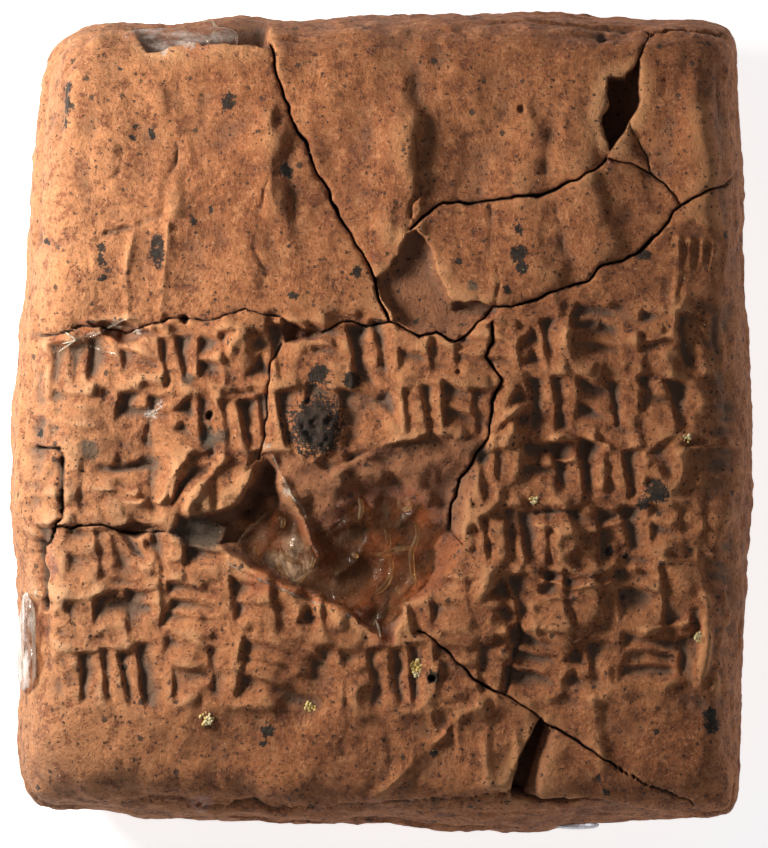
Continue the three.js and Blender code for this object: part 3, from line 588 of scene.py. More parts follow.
def build_front_maps():
    """The written face: relief in millimetres, and the places of recesses (for dirt, painted shade and a painted
    ridge highlight), cracks (for painted shade), breaks, stains and adhesive.
    """
    wedges, rims = inscription()
    written = smooth_step(-0.76, -0.68, V) * smooth_step(0.3, 0.24, V - 0.03 * U)
    plain = 1 - written
    lumps = 0.15 * cloud(5, 21) + 0.085 * cloud(2.2, 22) + 0.03 * cloud(0.9, 23)
    streaks = 0.08 * smooth_step(0.4, 1.6, cloud(1.3, 24, 4)) - 0.08 * smooth_step(0.5, 1.8,
                                                                                   cloud(0.9, 25, 3))
    worked = 0.16 * cloud(1.8, 26, 2.8) + 0.04 * cloud(0.6, 27)
    relief = lumps + streaks * plain + worked * written + seal_relief()
    relief += 0.2 * blur(rims, 0.2) * written - blur(wedges, 0.095) * np.clip(1 + 0.25 * cloud(3, 28), 0.4,
                                                                              1.5) * written
    relief -= 0.05 * smooth_step(1.7, 2.6, cloud(0.4, 29))
    wavy_x, wavy_y = WORN_X + 0.1 * cloud(0.8, 43), WORN_Y + 0.1 * cloud(0.8, 44)
    wear, fading = np.clip(1 + 0.4 * cloud(1.2, 45), 0.5, 2), np.clip(0.85 + 0.4 * cloud(1.1, 46), 0.1, 1.4)
    for path, half_width, rise in WORN_LINES:
        relief += rise * ridge(path, half_width * wear, wavy_x, wavy_y) * fading

    hollow = gauge(HOLLOW, HOLLOW_CENTRE)
    chip = gauge(CHIP, CHIP_CENTRE)
    hole = gauge(CORNER_HOLE, CORNER_HOLE_CENTRE)
    fissure = gauge(FISSURE, FISSURE_CENTRE)
    small = gauge(SMALL_CHIP, SMALL_CHIP_CENTRE)
    top_rim = gauge(TOP_RIM, TOP_RIM_CENTRE)
    left_rim = gauge(LEFT_RIM, LEFT_RIM_CENTRE)
    slot = np.minimum(gauge(SLOT, SLOT_CENTRE), gauge(GLUE_SLOT, GLUE_SLOT_CENTRE))
    green = gauge(GREEN_FACET, GREEN_FACET_CENTRE)

    rubble = 0.22 * facets(1.8, 31) - 0.19 + 0.09 * facets(0.7, 34)
    inside = smooth_step(1.0, 0.93, hollow)
    relief = relief * (1 - inside)
    floor_depth = hollow_floor() - 0.9 * ridge(HOLLOW_FIN, 0.4) + 0.9 * ridge(HOLLOW_POCKET, 0.5)
    floor_depth = np.where(green < 1, 0.5 + 0.25 * green + 0.12 * cloud(0.9, 47), floor_depth)
    relief += rubble * smooth_step(1.0, 0.85, hollow) * (green > 1)
    relief -= np.interp(hollow, [0, 0.78, 0.93, 1], [1, 1, 0.55, 0]) * floor_depth
    relief *= 1 - smooth_step(1.01, 0.95, chip) * 0.8
    relief -= np.interp(chip, [0, 0.75, 0.97, 1], [1.0, 0.95, 0.5, 0]) * np.clip(0.9 - 0.9 * (U - 0.08), 0.5,
                                                                                 1.1)
    relief -= 0.5 * ridge([[0.21, 0.275], [0.27, 0.265], [0.3, 0.27]], 0.25)
    relief -= np.interp(hole, [0, 0.85, 1], [1, 0.9, 0]) * np.interp(U, [0.6, 0.66, 0.72], [3.6, 2.6, 0.6])
    from_left = U - np.interp(V, [-0.92, -0.73], [0.35, 0.415])
    relief -= np.interp(fissure, [0, 0.9, 1], [1, 1, 0]) * np.interp(from_left,
                                                                     [0, 0.022, 0.03, 0.045, 0.072],
                                                                     [2.4, 2.0, 0.8, 0.5, 0])
    relief -= np.interp(small, [0, 0.6, 1], [1, 1, 0])
    relief -= np.interp(slot, [0, 0.6, 1], [0.9, 0.8, 0])
    relief -= smooth_step(1.0, 0.82, top_rim) * (1.5 + 0.35 * facets(1.2, 37))
    relief -= smooth_step(1.0, 0.55, left_rim) * 0.35
    for u, v, radius, depth in PITS:
        x, y = to_map((u, v))
        relief -= depth * smooth_step(radius, radius * 0.4, np.hypot(JAG_X - x, JAG_Y - y))
    x, y = to_map(BLACK_LUMP)
    lump = smooth_step(LUMP_RADIUS, LUMP_RADIUS * 0.5, np.hypot(JAG_X - x, JAG_Y - y))
    relief += lump * (LUMP_RISE + 0.1 * cloud(0.5, 38) + 0.06 * cloud(0.22, 39) - relief)

    line = np.full(X.shape, 9.0)
    uneven = 1 + 0.3 * cloud(1.3, 41)
    for crack_width, crack_depth, step, path in CRACKS:
        distance, side = path_distance(path)
        half = np.maximum(crack_width * 0.32 * uneven, 0.03)
        relief += step / 2 * side * np.clip(1 - distance / STEP_REACH, 0, 1) ** 2
        relief -= crack_depth * np.clip(1 - distance / half, 0,
                                        1) ** 0.7 + 0.07 * np.exp(-(distance / 0.3) ** 2)
        line = np.minimum(line, distance - half)

    broken = np.minimum.reduce([hollow, chip, hole, fissure, small, slot, top_rim, left_rim])
    return {
        "relief": relief,
        # The recess mark carries dirt and painted shade into the recesses and a painted highlight onto the ridges;
        # the line mark carries painted shade into the cracks
        "recess": 0.7 * blur(relief, 0.5) + 0.5 * blur(relief, 1.3) - 1.2 * relief,
        "line": line,
        "broken": smooth_step(1.02, 0.95, broken),
        "hollow": smooth_step(1.04, 0.88, gauge(WET, WET_CENTRE)),
        "stain": closeness(STAINS),
        "smear": np.maximum(closeness(SMEARS), 1.2 - green),
        "chalk": closeness(CHALKY),
        "glue": closeness(GLUE_SPOTS),
    }


def build_back_maps():
    """The reverse: slow lumps, scratches and three rows of plain strokes."""
    wedges, rims = np.zeros_like(X), np.zeros_like(X)
    draws = make_random(REVERSE_SEED)
    for row_v in REVERSE_ROWS:
        for stroke in row_strokes(lambda u: row_v, -REVERSE_REACH, REVERSE_REACH, PLAIN_KINDS, draws):
            press_stroke(wedges, rims, *stroke)
    lumps = 0.1 * cloud(6, 71) + 0.05 * cloud(2, 72) + 0.02 * cloud(0.8, 73)
    scratches = 0.05 * smooth_step(1.2, 2.2, cloud(0.4, 74, 5))
    relief = lumps - scratches + 0.18 * blur(rims, 0.2) - blur(wedges, 0.12)
    relief -= 0.5 * smooth_step(1.9, 2.6, cloud(2.2, 75))
    none = np.full(X.shape, -1.0)
    nothing = np.zeros_like(X)
    return {
        # The recess mark carries dirt and painted shade into the recesses and a painted highlight onto the ridges
        # here too
        "relief": relief, "recess": blur(relief, 0.55) - relief, "line": nothing + 9, "broken": nothing,
        "hollow": nothing, "stain": none, "smear": none, "chalk": none, "glue": none,
    }


# Body mesh

def lattice_noise(points, size, seed):
    """Smooth lumps in space, with values from -1 to 1."""
    lattice = np.random.default_rng(seed).uniform(-1, 1, (48, 48, 48))
    place = points / np.array(size, float) + 100
    cell = np.floor(place).astype(int)
    t = place - cell
    t = t * t * (3 - 2 * t)
    total = np.zeros(points.shape[:-1])
    for corner in np.ndindex(2, 2, 2):
        weight = np.ones(points.shape[:-1])
        for axis in range(3):
            weight = weight * (t[..., axis] if corner[axis] else 1 - t[..., axis])
        index = tuple((cell[..., axis] + corner[axis]) % 48 for axis in range(3))
        total += weight * lattice[index]
    return total


def side_relief(points):
    """Slow lumps and the long flat fissures of the edges."""
    lumps = 0.26 * lattice_noise(points, (5, 5, 4), 51) + 0.14 * lattice_noise(points, (1.3, 1.3, 0.9), 52)
    lumps += 0.06 * lattice_noise(points, (0.5, 0.5, 0.4), 54)
    flakes = lattice_noise(points, (7, 7, 1.1), 53)
    return lumps - 0.32 * smooth_step(0.3, 0.55, flakes)


MARKS = ["recess", "line", "broken", "hollow", "stain", "smear", "chalk", "glue"]
ABSENT = {"recess": 0, "line": 9, "broken": 0, "hollow": 0, "stain": -1, "smear": -1, "chalk": -1, "glue": -1}


def displaced(u, v, points, side, maps):
    """Points moved by a face's relief and the edges' lumps, and each mark's value at them."""
    normals = grid_normals(points, side)
    facing = np.abs(normals[..., 2])
    on_face = smooth_step(0.1, 0.45, facing)
    on_side = 1 - smooth_step(0.3, 0.8, facing)
    relief = sample(maps["relief"], u, v) * on_face
    edge = side_relief(points)
    grain = 0.035 * lattice_noise(points, (0.5,) * 3, 61) + 0.025 * lattice_noise(points, (0.25,) * 3, 62)
    outward = np.maximum(relief, 0) + edge * on_side + grain
    straight = facing[..., None] ** 2
    down = normals * (1 - straight) + np.array([0, 0, side]) * straight
    down = down / np.linalg.norm(down, axis=-1, keepdims=True)
    moved = points + normals * outward[..., None] + down * np.minimum(relief, 0)[..., None]
    moved[..., 2] = np.maximum(moved[..., 2], 0)
    marks = {}
    for name in MARKS:
        marks[name] = sample(maps[name], u, v) * on_face + ABSENT[name] * (1 - on_face)
    marks["recess"] = marks["recess"] - 0.35 * edge * on_side
    return moved, marks


def mesh_from_arrays(name, points, faces):
    """A mesh from an array of points and arrays of faces, given as lists of equal-sided groups."""
    mesh = bpy.data.meshes.new(name)
    mesh.vertices.add(len(points))
    mesh.vertices.foreach_set("co", (points * MM).astype(np.float32).ravel())
    corners = np.concatenate([group.ravel() for group in faces]).astype(np.int32)
    counts = np.concatenate([np.full(len(group), group.shape[1]) for group in faces])
    mesh.loops.add(len(corners))
    mesh.loops.foreach_set("vertex_index", corners)
    mesh.polygons.add(len(counts))
    starts = np.concatenate([[0], np.cumsum(counts)[:-1]]).astype(np.int32)
    mesh.polygons.foreach_set("loop_start", starts)
    mesh.update(calc_edges=True)
    return mesh


def grid_quads(index, side):
    quads = np.stack([index[:-1, :-1], index[:-1, 1:], index[1:, 1:], index[1:, :-1]], -1).reshape(-1, 4)
    return quads if side == FRONT else quads[:, ::-1]


def border(index):
    return np.concatenate([index[0, :-1], index[:-1, -1], index[-1, :0:-1], index[:0:-1, 0]])


def build_body_mesh(front_maps, back_maps):
    u, v, points = body_grid(GRID_ACROSS, GRID_ALONG, FRONT)
    top, top_marks = displaced(u, v, points, FRONT, front_maps)
    front_index = np.arange(u.size).reshape(u.shape)
    u, v, points = body_grid(GRID_ACROSS // 2, GRID_ALONG // 2, BACK)
    bottom, bottom_marks = displaced(u, v, points, BACK, back_maps)
    back_index = np.full(u.shape, -1)
    inner = slice(1, -1)
    inner_count = (u.shape[0] - 2) * (u.shape[1] - 2)
    back_index[inner, inner] = front_index.size + np.arange(inner_count).reshape(u.shape[0] - 2, -1)
    shared = front_index[::2, ::2]
    edge = back_index < 0
    back_index[edge] = shared[edge]
    points = np.concatenate([top.reshape(-1, 3), bottom[inner, inner].reshape(-1, 3)])
    ring = border(front_index)
    slivers = np.stack([ring[0::2], np.roll(ring, -2)[0::2], ring[1::2]], -1)
    faces = [grid_quads(front_index, FRONT), grid_quads(back_index, BACK), slivers]
    mesh = mesh_from_arrays("clay_body", points, faces)
    for name in MARKS:
        values = np.concatenate([top_marks[name].ravel(), bottom_marks[name][inner, inner].ravel()])
        mark = mesh.attributes.new(name, "FLOAT", "POINT")
        mark.data.foreach_set("value", values.astype(np.float32))
    return mesh


def link_object(name, data):
    piece = bpy.data.objects.new(name, data)
    bpy.context.collection.objects.link(piece)
    return piece


def settle(piece):
    """Turns a piece with its modifiers into a plain mesh."""
    evaluated = piece.evaluated_get(bpy.context.evaluated_depsgraph_get())
    result = bpy.data.meshes.new_from_object(evaluated)
    piece.modifiers.clear()
    piece.data = result
    return piece


def thin_out(piece, triangles):
    """The same shape with fewer faces, kept where the surface bends."""
    total = sum(len(polygon.vertices) - 2 for polygon in piece.data.polygons)
    modifier = piece.modifiers.new("thin", "DECIMATE")
    modifier.ratio = triangles / total
    modifier.use_collapse_triangulate = True
    return settle(piece)


# Materials

class Finish:
    """A procedural material, put together from small steps that each give a socket."""

    def __init__(self, name):
        self.material = bpy.data.materials.new(name)
        self.material.use_nodes = True
        self.tree = self.material.node_tree
        self.shader = self.tree.nodes["Principled BSDF"]
        self.output = self.tree.nodes["Material Output"]
        self.place = self.add("ShaderNodeTexCoord").outputs["Object"]
        self.uneven_place = self.place

    def add(self, kind, **settings):
        node = self.tree.nodes.new(kind)
        for setting, value in settings.items():
            setattr(node, setting, value)
        return node

    def feed(self, socket, value):
        if isinstance(value, bpy.types.NodeSocket):
            self.tree.links.new(value, socket)
        elif isinstance(value, tuple) and len(value) == 3 and socket.type == "RGBA":
            socket.default_value = (*value, 1)
        else:
            socket.default_value = value

    def mark(self, name):
        return self.add("ShaderNodeAttribute", attribute_name=name).outputs["Fac"]

    def math(self, operation, first, second=0.0):
        node = self.add("ShaderNodeMath", operation=operation)
        self.feed(node.inputs[0], first)
        self.feed(node.inputs[1], second)
        return node.outputs[0]

    def stretched(self, scale):
        node = self.add("ShaderNodeMapping")
        self.feed(node.inputs["Vector"], self.place)
        node.inputs["Scale"].default_value = scale
        return node.outputs["Vector"]

    def noise(self, size, detail=3.0, roughness=0.6, stretch=None):
        """Lumps of a size in millimetres, with values about 0.5."""
        node = self.add("ShaderNodeTexNoise")
        self.feed(node.inputs["Vector"], self.stretched(stretch) if stretch else self.place)
        node.inputs["Scale"].default_value = 1 / (size * MM)
        node.inputs["Detail"].default_value = detail
        node.inputs["Roughness"].default_value = roughness
        return node.outputs["Fac"]

    def roughen_edges(self, size, shift):
        """Moves the places of later specks about by noise, both in millimetres."""
        noise = self.add("ShaderNodeTexNoise")
        self.feed(noise.inputs["Vector"], self.place)
        noise.inputs["Scale"].default_value = 1 / (size * MM)
        noise.inputs["Detail"].default_value = 1.0
        moved = self.add("ShaderNodeVectorMath", operation="MULTIPLY_ADD")
        self.feed(moved.inputs[0], noise.outputs["Color"])
        moved.inputs[1].default_value = (shift * MM,) * 3
        self.feed(moved.inputs[2], self.place)
        self.uneven_place = moved.outputs[0]

    def specks(self, spacing, radius, share):
        """1 inside round specks, by spacing and radius in millimetres and the share of cells with one."""
        cells = self.add("ShaderNodeTexVoronoi")
        self.feed(cells.inputs["Vector"], self.uneven_place)
        cells.inputs["Scale"].default_value = 1 / (spacing * MM)
        tint = self.add("ShaderNodeSeparateColor")
        self.feed(tint.inputs["Color"], cells.outputs["Color"])
        size = self.math("MULTIPLY", tint.outputs["Green"], radius / spacing)
        inside = self.step(cells.outputs["Distance"], size, self.math("MULTIPLY", size, 0.6))
        return self.math("MULTIPLY", inside, self.math("LESS_THAN", tint.outputs["Red"], share))

    def step(self, value, start, end):
        """0 before the start and 1 after the end, smoothly."""
        node = self.add("ShaderNodeMapRange", interpolation_type="SMOOTHSTEP")
        self.feed(node.inputs["Value"], value)
        self.feed(node.inputs["From Min"], start)
        self.feed(node.inputs["From Max"], end)
        return node.outputs["Result"]

    def blend(self, factor, first, second, way="MIX"):
        node = self.add("ShaderNodeMix", data_type="RGBA", blend_type=way, clamp_result=False)
        self.feed(node.inputs[0], factor)
        self.feed(node.inputs[6], first)
        self.feed(node.inputs[7], second)
        return node.outputs[2]

    def cover(self, color, mask, share, tone, way="MIX"):
        """Lays a tone over a colour where a mask is 1, up to a share."""
        return self.blend(self.math("MULTIPLY", mask, share), color, tone, way)

    def lerp(self, factor, first, second):
        node = self.add("ShaderNodeMix", data_type="FLOAT")
        self.feed(node.inputs[0], factor)
        self.feed(node.inputs[2], first)
        self.feed(node.inputs[3], second)
        return node.outputs[0]

    def bump(self, height, distance):
        """A bump of a height from 0 to 1, as deep as a distance in millimetres."""
        node = self.add("ShaderNodeBump")
        node.inputs["Distance"].default_value = distance * MM
        self.feed(node.inputs["Height"], height)
        return node.outputs["Normal"]

    def set(self, **values):
        for socket, value in values.items():
            self.feed(self.shader.inputs[socket.replace("_", " ")], value)
        return self.material


# Tones of the clay, of what lies on it, and of painted light and shade; noise mixes the two of a pair
CLAY_TONES = (0.41, 0.134, 0.046), (0.52, 0.183, 0.065)
# Painted light: paler clay on the left side, which faces the lamp
LIT_SIDE_TONE = (0.52, 0.265, 0.125)
DARK_MOTTLE, LIGHT_MOTTLE = (0.245, 0.074, 0.028), (0.66, 0.27, 0.108)
DARK_GRAIN, LIGHT_GRAIN = (0.17, 0.060, 0.028), (0.72, 0.34, 0.16)
# Painted highlight on the ridges, plain and on the paler left side
RIDGE_HIGHLIGHT_TONES = (0.74, 0.285, 0.10), (0.74, 0.37, 0.17)
LIT_SIDE_RIDGE_HIGHLIGHT_TONE = (0.7, 0.385, 0.2)
# Dirt and painted shade in the recesses
DIRT_AND_SHADE_TONES = (0.12, 0.074, 0.049), (0.21, 0.130, 0.085)
BROKEN_TONES = (0.42, 0.165, 0.075), (0.17, 0.07, 0.035)
SMEAR_TONES = (0.03, 0.032, 0.024), (0.13, 0.122, 0.09)
WET_TINT = (0.85, 0.58, 0.38)
CHALK_TONE = (0.66, 0.56, 0.47)
GRIT_TONE = (0.15, 0.048, 0.022)
PORE_TONE, BIG_PORE_TONE = (0.065, 0.03, 0.018), (0.045, 0.03, 0.022)
# Painted shade in the cracks
CRACK_SHADE_TONE = (0.03, 0.018, 0.012)
STAIN_TONES = (0.005, 0.007, 0.006), (0.03, 0.035, 0.029)

# Where the painted light that pales the left side, which faces the lamp, starts and is full, in millimetres
LIT_SIDE_START, LIT_SIDE_FULL = -7, -26


def fired_clay():
    """Reddish-brown clay: mottled, pored and dirty, with painted shade in its recesses and cracks, a painted
    highlight on its ridges, and painted light paling its left side.
    """
    clay = Finish("fired_clay")
    clay.roughen_edges(0.14, 0.3)
    fine = clay.noise(0.24, 4, 0.8)
    mottle = clay.noise(1.1, 4, 0.72)
    broad = clay.noise(7, 2, 0.55)
    flecks = clay.noise(0.3, 2, 0.8)
    uneven = clay.math("SUBTRACT", fine, 0.5)
    patchy = clay.math("SUBTRACT", mottle, 0.5)
    ragged = clay.math("SUBTRACT", flecks, 0.5)
    recess = clay.math("ADD", clay.mark("recess"), clay.math("MULTIPLY", uneven, 0.4))
    across = clay.add("ShaderNodeSeparateXYZ")
    clay.feed(across.inputs[0], clay.place)
    # Painted light: the clay grows paler towards the left, the side that faces the lamp
    lit_side = clay.step(across.outputs["X"], LIT_SIDE_START * MM, LIT_SIDE_FULL * MM)

    color = clay.blend(clay.step(broad, 0.36, 0.64), *CLAY_TONES)
    color = clay.cover(color, lit_side, 0.5, LIT_SIDE_TONE)
    color = clay.cover(color, clay.step(mottle, 0.5, 0.63), 0.85, DARK_MOTTLE)
    color = clay.cover(color, clay.step(mottle, 0.48, 0.34), 0.75, LIGHT_MOTTLE)
    color = clay.cover(color, clay.step(fine, 0.53, 0.66), 0.7, LIGHT_GRAIN)
    color = clay.cover(color, clay.step(fine, 0.47, 0.34), 0.75, DARK_GRAIN)
    # Painted highlight on the ridges, where the recess mark is below zero
    ridge_highlight = clay.blend(lit_side, clay.blend(broad, *RIDGE_HIGHLIGHT_TONES), LIT_SIDE_RIDGE_HIGHLIGHT_TONE)
    color = clay.cover(color, clay.step(recess, -0.05, -0.4), 0.8, ridge_highlight)
    # Dirt and painted shade in the recesses
    color = clay.cover(color, clay.step(recess, -0.02, 0.34), 0.9, clay.blend(mottle, *DIRT_AND_SHADE_TONES))
    color = clay.cover(color, clay.mark("broken"), 0.55, clay.blend(mottle, *BROKEN_TONES))

    smear = clay.step(clay.math("ADD", clay.mark("smear"), ragged), 0.0, 0.5)
    color = clay.cover(color, smear, 0.75, clay.blend(fine, *SMEAR_TONES))
    wet = clay.step(clay.math("ADD", clay.mark("glue"), patchy), 0.0, 0.45)
    wet = clay.math("MAXIMUM", wet, clay.math("MULTIPLY", clay.step(clay.mark("hollow"), 0.6, 1.0), 0.95))
    color = clay.cover(color, wet, 0.85, WET_TINT, "MULTIPLY")
    chalk = clay.math("ADD", clay.mark("chalk"), clay.math("MULTIPLY", ragged, 3.5))
    color = clay.cover(color, clay.step(chalk, 0.1, 0.5), 0.6, CHALK_TONE)

    crowded = clay.math("ADD", flecks, clay.math("MULTIPLY", patchy, 0.35))
    pores = clay.math("MAXIMUM", clay.specks(0.42, 0.15, 0.62), clay.step(crowded, 0.64, 0.69))
    color = clay.cover(color, clay.specks(0.62, 0.27, 0.75), 0.5, GRIT_TONE)
    color = clay.cover(color, pores, 0.9, PORE_TONE)
    color = clay.cover(color, clay.specks(1.1, 0.28, 0.45), 0.85, BIG_PORE_TONE)
    # Painted shade in the cracks, near the crack lines
    line = clay.step(clay.math("ADD", clay.mark("line"), clay.math("MULTIPLY", fine, 0.1)), 0.05, -0.04)
    color = clay.cover(color, line, 0.7, CRACK_SHADE_TONE)
    shreds = clay.math("MULTIPLY", clay.math("ADD", ragged, uneven), 1.6)
    stain = clay.step(clay.math("ADD", clay.mark("stain"), shreds), -0.05, 0.2)
    color = clay.cover(color, stain, 0.93, clay.blend(clay.step(fine, 0.4, 0.7), *STAIN_TONES))

    roughness = clay.lerp(wet, 0.82, clay.lerp(clay.step(fine, 0.35, 0.65), 0.2, 0.5))
    grain = clay.bump(fine, 0.24)
    return clay.set(Base_Color=color, Roughness=roughness, Normal=grain,
                    Specular_IOR_Level=clay.lerp(wet, 0.35, 0.6))


def clear_adhesive(name, tint, haze, cloudiness, cloudy_place=None, cloudy_radius=1.0, stretch=(1, 0.5, 1)):
    """Cured adhesive: see-through and glossy, with cloudy patches, one of them at a known place."""
    glue = Finish(name)
    wisps = glue.noise(1.0, 3, 0.75, stretch)
    cloudy = glue.math("MULTIPLY", glue.step(wisps, 0.38, 0.66), cloudiness)
    if cloudy_place:
        away = glue.add("ShaderNodeVectorMath", operation="DISTANCE")
        glue.feed(away.inputs[0], glue.place)
        away.inputs[1].default_value = [value * MM for value in cloudy_place]
        near = glue.step(away.outputs["Value"], cloudy_radius * MM, 0.3 * cloudy_radius * MM)
        cloudy = glue.math("MAXIMUM", cloudy, glue.math("MULTIPLY", near, glue.step(wisps, 0.3, 0.7)))
    see_through = glue.add("ShaderNodeBsdfTransparent")
    glue.feed(see_through.inputs["Color"], tint)
    gloss = glue.add("ShaderNodeLayerWeight")
    gloss.inputs["Blend"].default_value = 0.2
    bump = glue.bump(glue.noise(0.4, 2, 0.6), 0.09)
    glue.feed(gloss.inputs["Normal"], bump)
    shine = glue.math("ADD", glue.math("MULTIPLY", gloss.outputs["Fresnel"], 0.6), 0.03)
    mix = glue.add("ShaderNodeMixShader")
    glue.feed(mix.inputs[0], glue.math("MAXIMUM", shine, cloudy))
    glue.tree.links.new(see_through.outputs[0], mix.inputs[1])
    glue.tree.links.new(glue.shader.outputs[0], mix.inputs[2])
    glue.tree.links.new(mix.outputs[0], glue.output.inputs["Surface"])
    return glue.set(Base_Color=haze, Roughness=0.09, Normal=bump, Specular_IOR_Level=1.0)


def floor_finish():
    """Pale paper with some glow of its own."""
    paper = Finish("pale_floor")
    paper.set(Emission_Color=(1.0, 1.0, 1.0), Emission_Strength=0.75)
    return paper.set(Base_Color=(0.9, 0.9, 0.9), Roughness=0.9)


def grain_finish():
    """Yellowish and whitish mineral grains."""
    grain = Finish("mineral_grain")
    tone = grain.noise(0.9, 2, 0.6)
    color = grain.blend(grain.step(tone, 0.4, 0.6), (0.62, 0.42, 0.12), (0.78, 0.64, 0.36))
    return grain.set(Base_Color=color, Roughness=0.35)


# Pieces

def dress(piece, material, slot, *nodes):
    piece.data.materials.clear()
    piece.data.materials.append(material)
    piece.data.shade_smooth()
    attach(piece, "root")
    if nodes:
        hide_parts(*nodes)
    return piece


front_maps = build_front_maps()
back_maps = build_back_maps()
tablet = thin_out(link_object("clay_tablet", build_body_mesh(front_maps, back_maps)), TRIANGLE_BUDGET)
dress(tablet, fired_clay(), "fired_clay", "tablet")


def clay_height(u, v):
    """Height of the finished written face at places well inside it."""
    return height_from(1, u, v, FRONT) + sample(front_maps["relief"], u, v)


def closed_patch(name, top, bottom):
    """A closed slab between two grids of points, the top one facing up."""
    count = top.shape[0] * top.shape[1]
    index = np.arange(count).reshape(top.shape[:2])
    ring = border(index)
    after = np.roll(ring, -1)
    walls = np.stack([ring, ring + count, after + count, after], -1)
    points = np.concatenate([top.reshape(-1, 3), bottom.reshape(-1, 3)])
    faces = [grid_quads(index, FRONT), grid_quads(index + count, BACK), walls]
    return mesh_from_arrays(name, points, faces)


POOL_SPAN, POOL_DROP, POOL_ROOT, POOL_STEP = (-0.5, 0.22, -0.52, -0.06), 1.15, 0.35, 0.13


def pool_height(u, v):
    """Height of the pool's wrinkled skin."""
    folds = 0.34 * (1 - np.minimum(np.abs(sample(cloud(1.5, 81), u, v)), 1)) ** 2
    ripples = 0.12 * sample(cloud(0.9, 82), u, v) + 0.03 * sample(cloud(0.35, 83), u, v)
    level = height_from(1, u, v, FRONT) - POOL_DROP + folds + ripples
    clay = clay_height(u, v)
    return np.where(sample(front_maps["hollow"], u, v) > 0.7, np.maximum(level, clay - 0.06), clay - 0.15)


def glue_pool():
    """The pool of adhesive in the bottom of the hollow."""
    u0, u1, v0, v1 = POOL_SPAN
    across = int((u1 - u0) * HALF_WIDTH / POOL_STEP)
    along = int((v1 - v0) * HALF_LENGTH / POOL_STEP)
    u, v = np.meshgrid(np.linspace(u0, u1, across), np.linspace(v0, v1, along))
    top = pool_height(u, v)
    bottom = np.minimum(clay_height(u, v), top) - POOL_ROOT
    x, y = plan(u, v)
    mesh = closed_patch("glue_pool_piece", np.stack([x, y, top], -1), np.stack([x, y, bottom], -1))
    return link_object("pooled_adhesive", mesh)


def closed_tube(rings, sides):
    """Faces of a tube of rings of points, with two more points that close its ends."""
    index = np.arange(rings * sides).reshape(rings, sides)
    after = np.roll(index, -1, 1)
    walls = np.stack([index[:-1], index[1:], after[1:], after[:-1]], -1).reshape(-1, 4)
    first, last = index.size, index.size + 1
    start = [[first, a, b] for a, b in zip(index[0], after[0])]
    end = [[last, b, a] for a, b in zip(index[-1], after[-1])]
    return [walls, np.array(start + end)]


def glue_lump(name, centre, half_sizes, seed, squareness=1.0, lean=0.0):
    """A rounded lump of adhesive with an uneven skin, leaning by some x for each z."""
    turns, tilts = 48, 24
    around, up = np.meshgrid(np.linspace(0, 2 * np.pi, turns, endpoint=False),
                             np.linspace(0, np.pi, tilts + 1)[1:-1])
    ball = np.stack([np.sin(up) * np.cos(around), np.sin(up) * np.sin(around), np.cos(up)], -1)
    ball = np.concatenate([ball.reshape(-1, 3), [[0, 0, 1.0], [0, 0, -1.0]]])
    size = np.array(half_sizes, float)
    uneven = 1 + 0.2 * lattice_noise(ball * size, (1.6,) * 3, seed) + 0.1 * lattice_noise(ball * size,
                                                                                          (0.6,) * 3,
                                                                                          seed + 1)
    points = np.sign(ball) * np.abs(ball) ** squareness * size * np.minimum(uneven, 1.12)[:, None]
    points[:, 0] += lean * points[:, 2]
    points += np.array(centre)
    return link_object(name, mesh_from_arrays(name, points, closed_tube(tilts - 1, turns)))


def thread(path, radius, surface):
    """Points and faces of a closed thread that tapers to both ends, along a path on a surface."""
    places = np.array(path, float)
    run = np.concatenate([[0], np.cumsum(np.hypot(*(np.diff(places, axis=0) * MEAN_HALF).T))])
    along = np.linspace(0, 1, max(int(run[-1] / 0.12), 6))
    u = blur_line(np.interp(along * run[-1], run, places[:, 0]))
    v = blur_line(np.interp(along * run[-1], run, places[:, 1]))
    x, y = plan(u, v)
    line = np.stack([x, y, surface(u, v)], -1)
    ahead = np.gradient(line, axis=0)
    ahead /= np.linalg.norm(ahead, axis=1)[:, None]
    side = np.cross(ahead, [0, 0, 1.0])
    side /= np.linalg.norm(side, axis=1)[:, None]
    lift = np.cross(side, ahead)
    thick = (radius * np.sin(np.pi * (0.04 + 0.92 * along)) ** 0.5)[:, None, None]
    turn = np.linspace(0, 2 * np.pi, THREAD_SIDES, endpoint=False)[None, :, None]
    skin = line[:, None] + thick * (np.cos(turn) * side[:, None] + np.sin(turn) * lift[:, None])
    return np.concatenate([skin.reshape(-1, 3), line[:1], line[-1:]]), closed_tube(len(along), THREAD_SIDES)


def blur_line(values):
    """Rounds the corners of a run of numbers and keeps its ends."""
    padded = np.concatenate([[values[0]] * 2, values, [values[-1]] * 2])
    return np.convolve(padded, [0.15, 0.2, 0.3, 0.2, 0.15], "valid")


def glue_threads(name, paths, radius, surface):
    """Folds, drips and bubble rims of cured adhesive as one mesh."""
    points, faces, count = [], [], 0
    for path in paths:
        skin, (walls, caps) = thread(path, radius, surface)
        points.append(skin)
        faces += [walls + count, caps + count]
        count += len(skin)
    return link_object(name, mesh_from_arrays(name, np.concatenate(points), faces))


def ring_path(u, v, radius):
    """A nearly closed ring round a place, its radius in millimetres."""
    turns = np.linspace(0, 1.9 * np.pi, 14)
    return [[u + radius * math.cos(t) / HALF_WIDTH, v + radius * math.sin(t) / HALF_LENGTH] for t in turns]


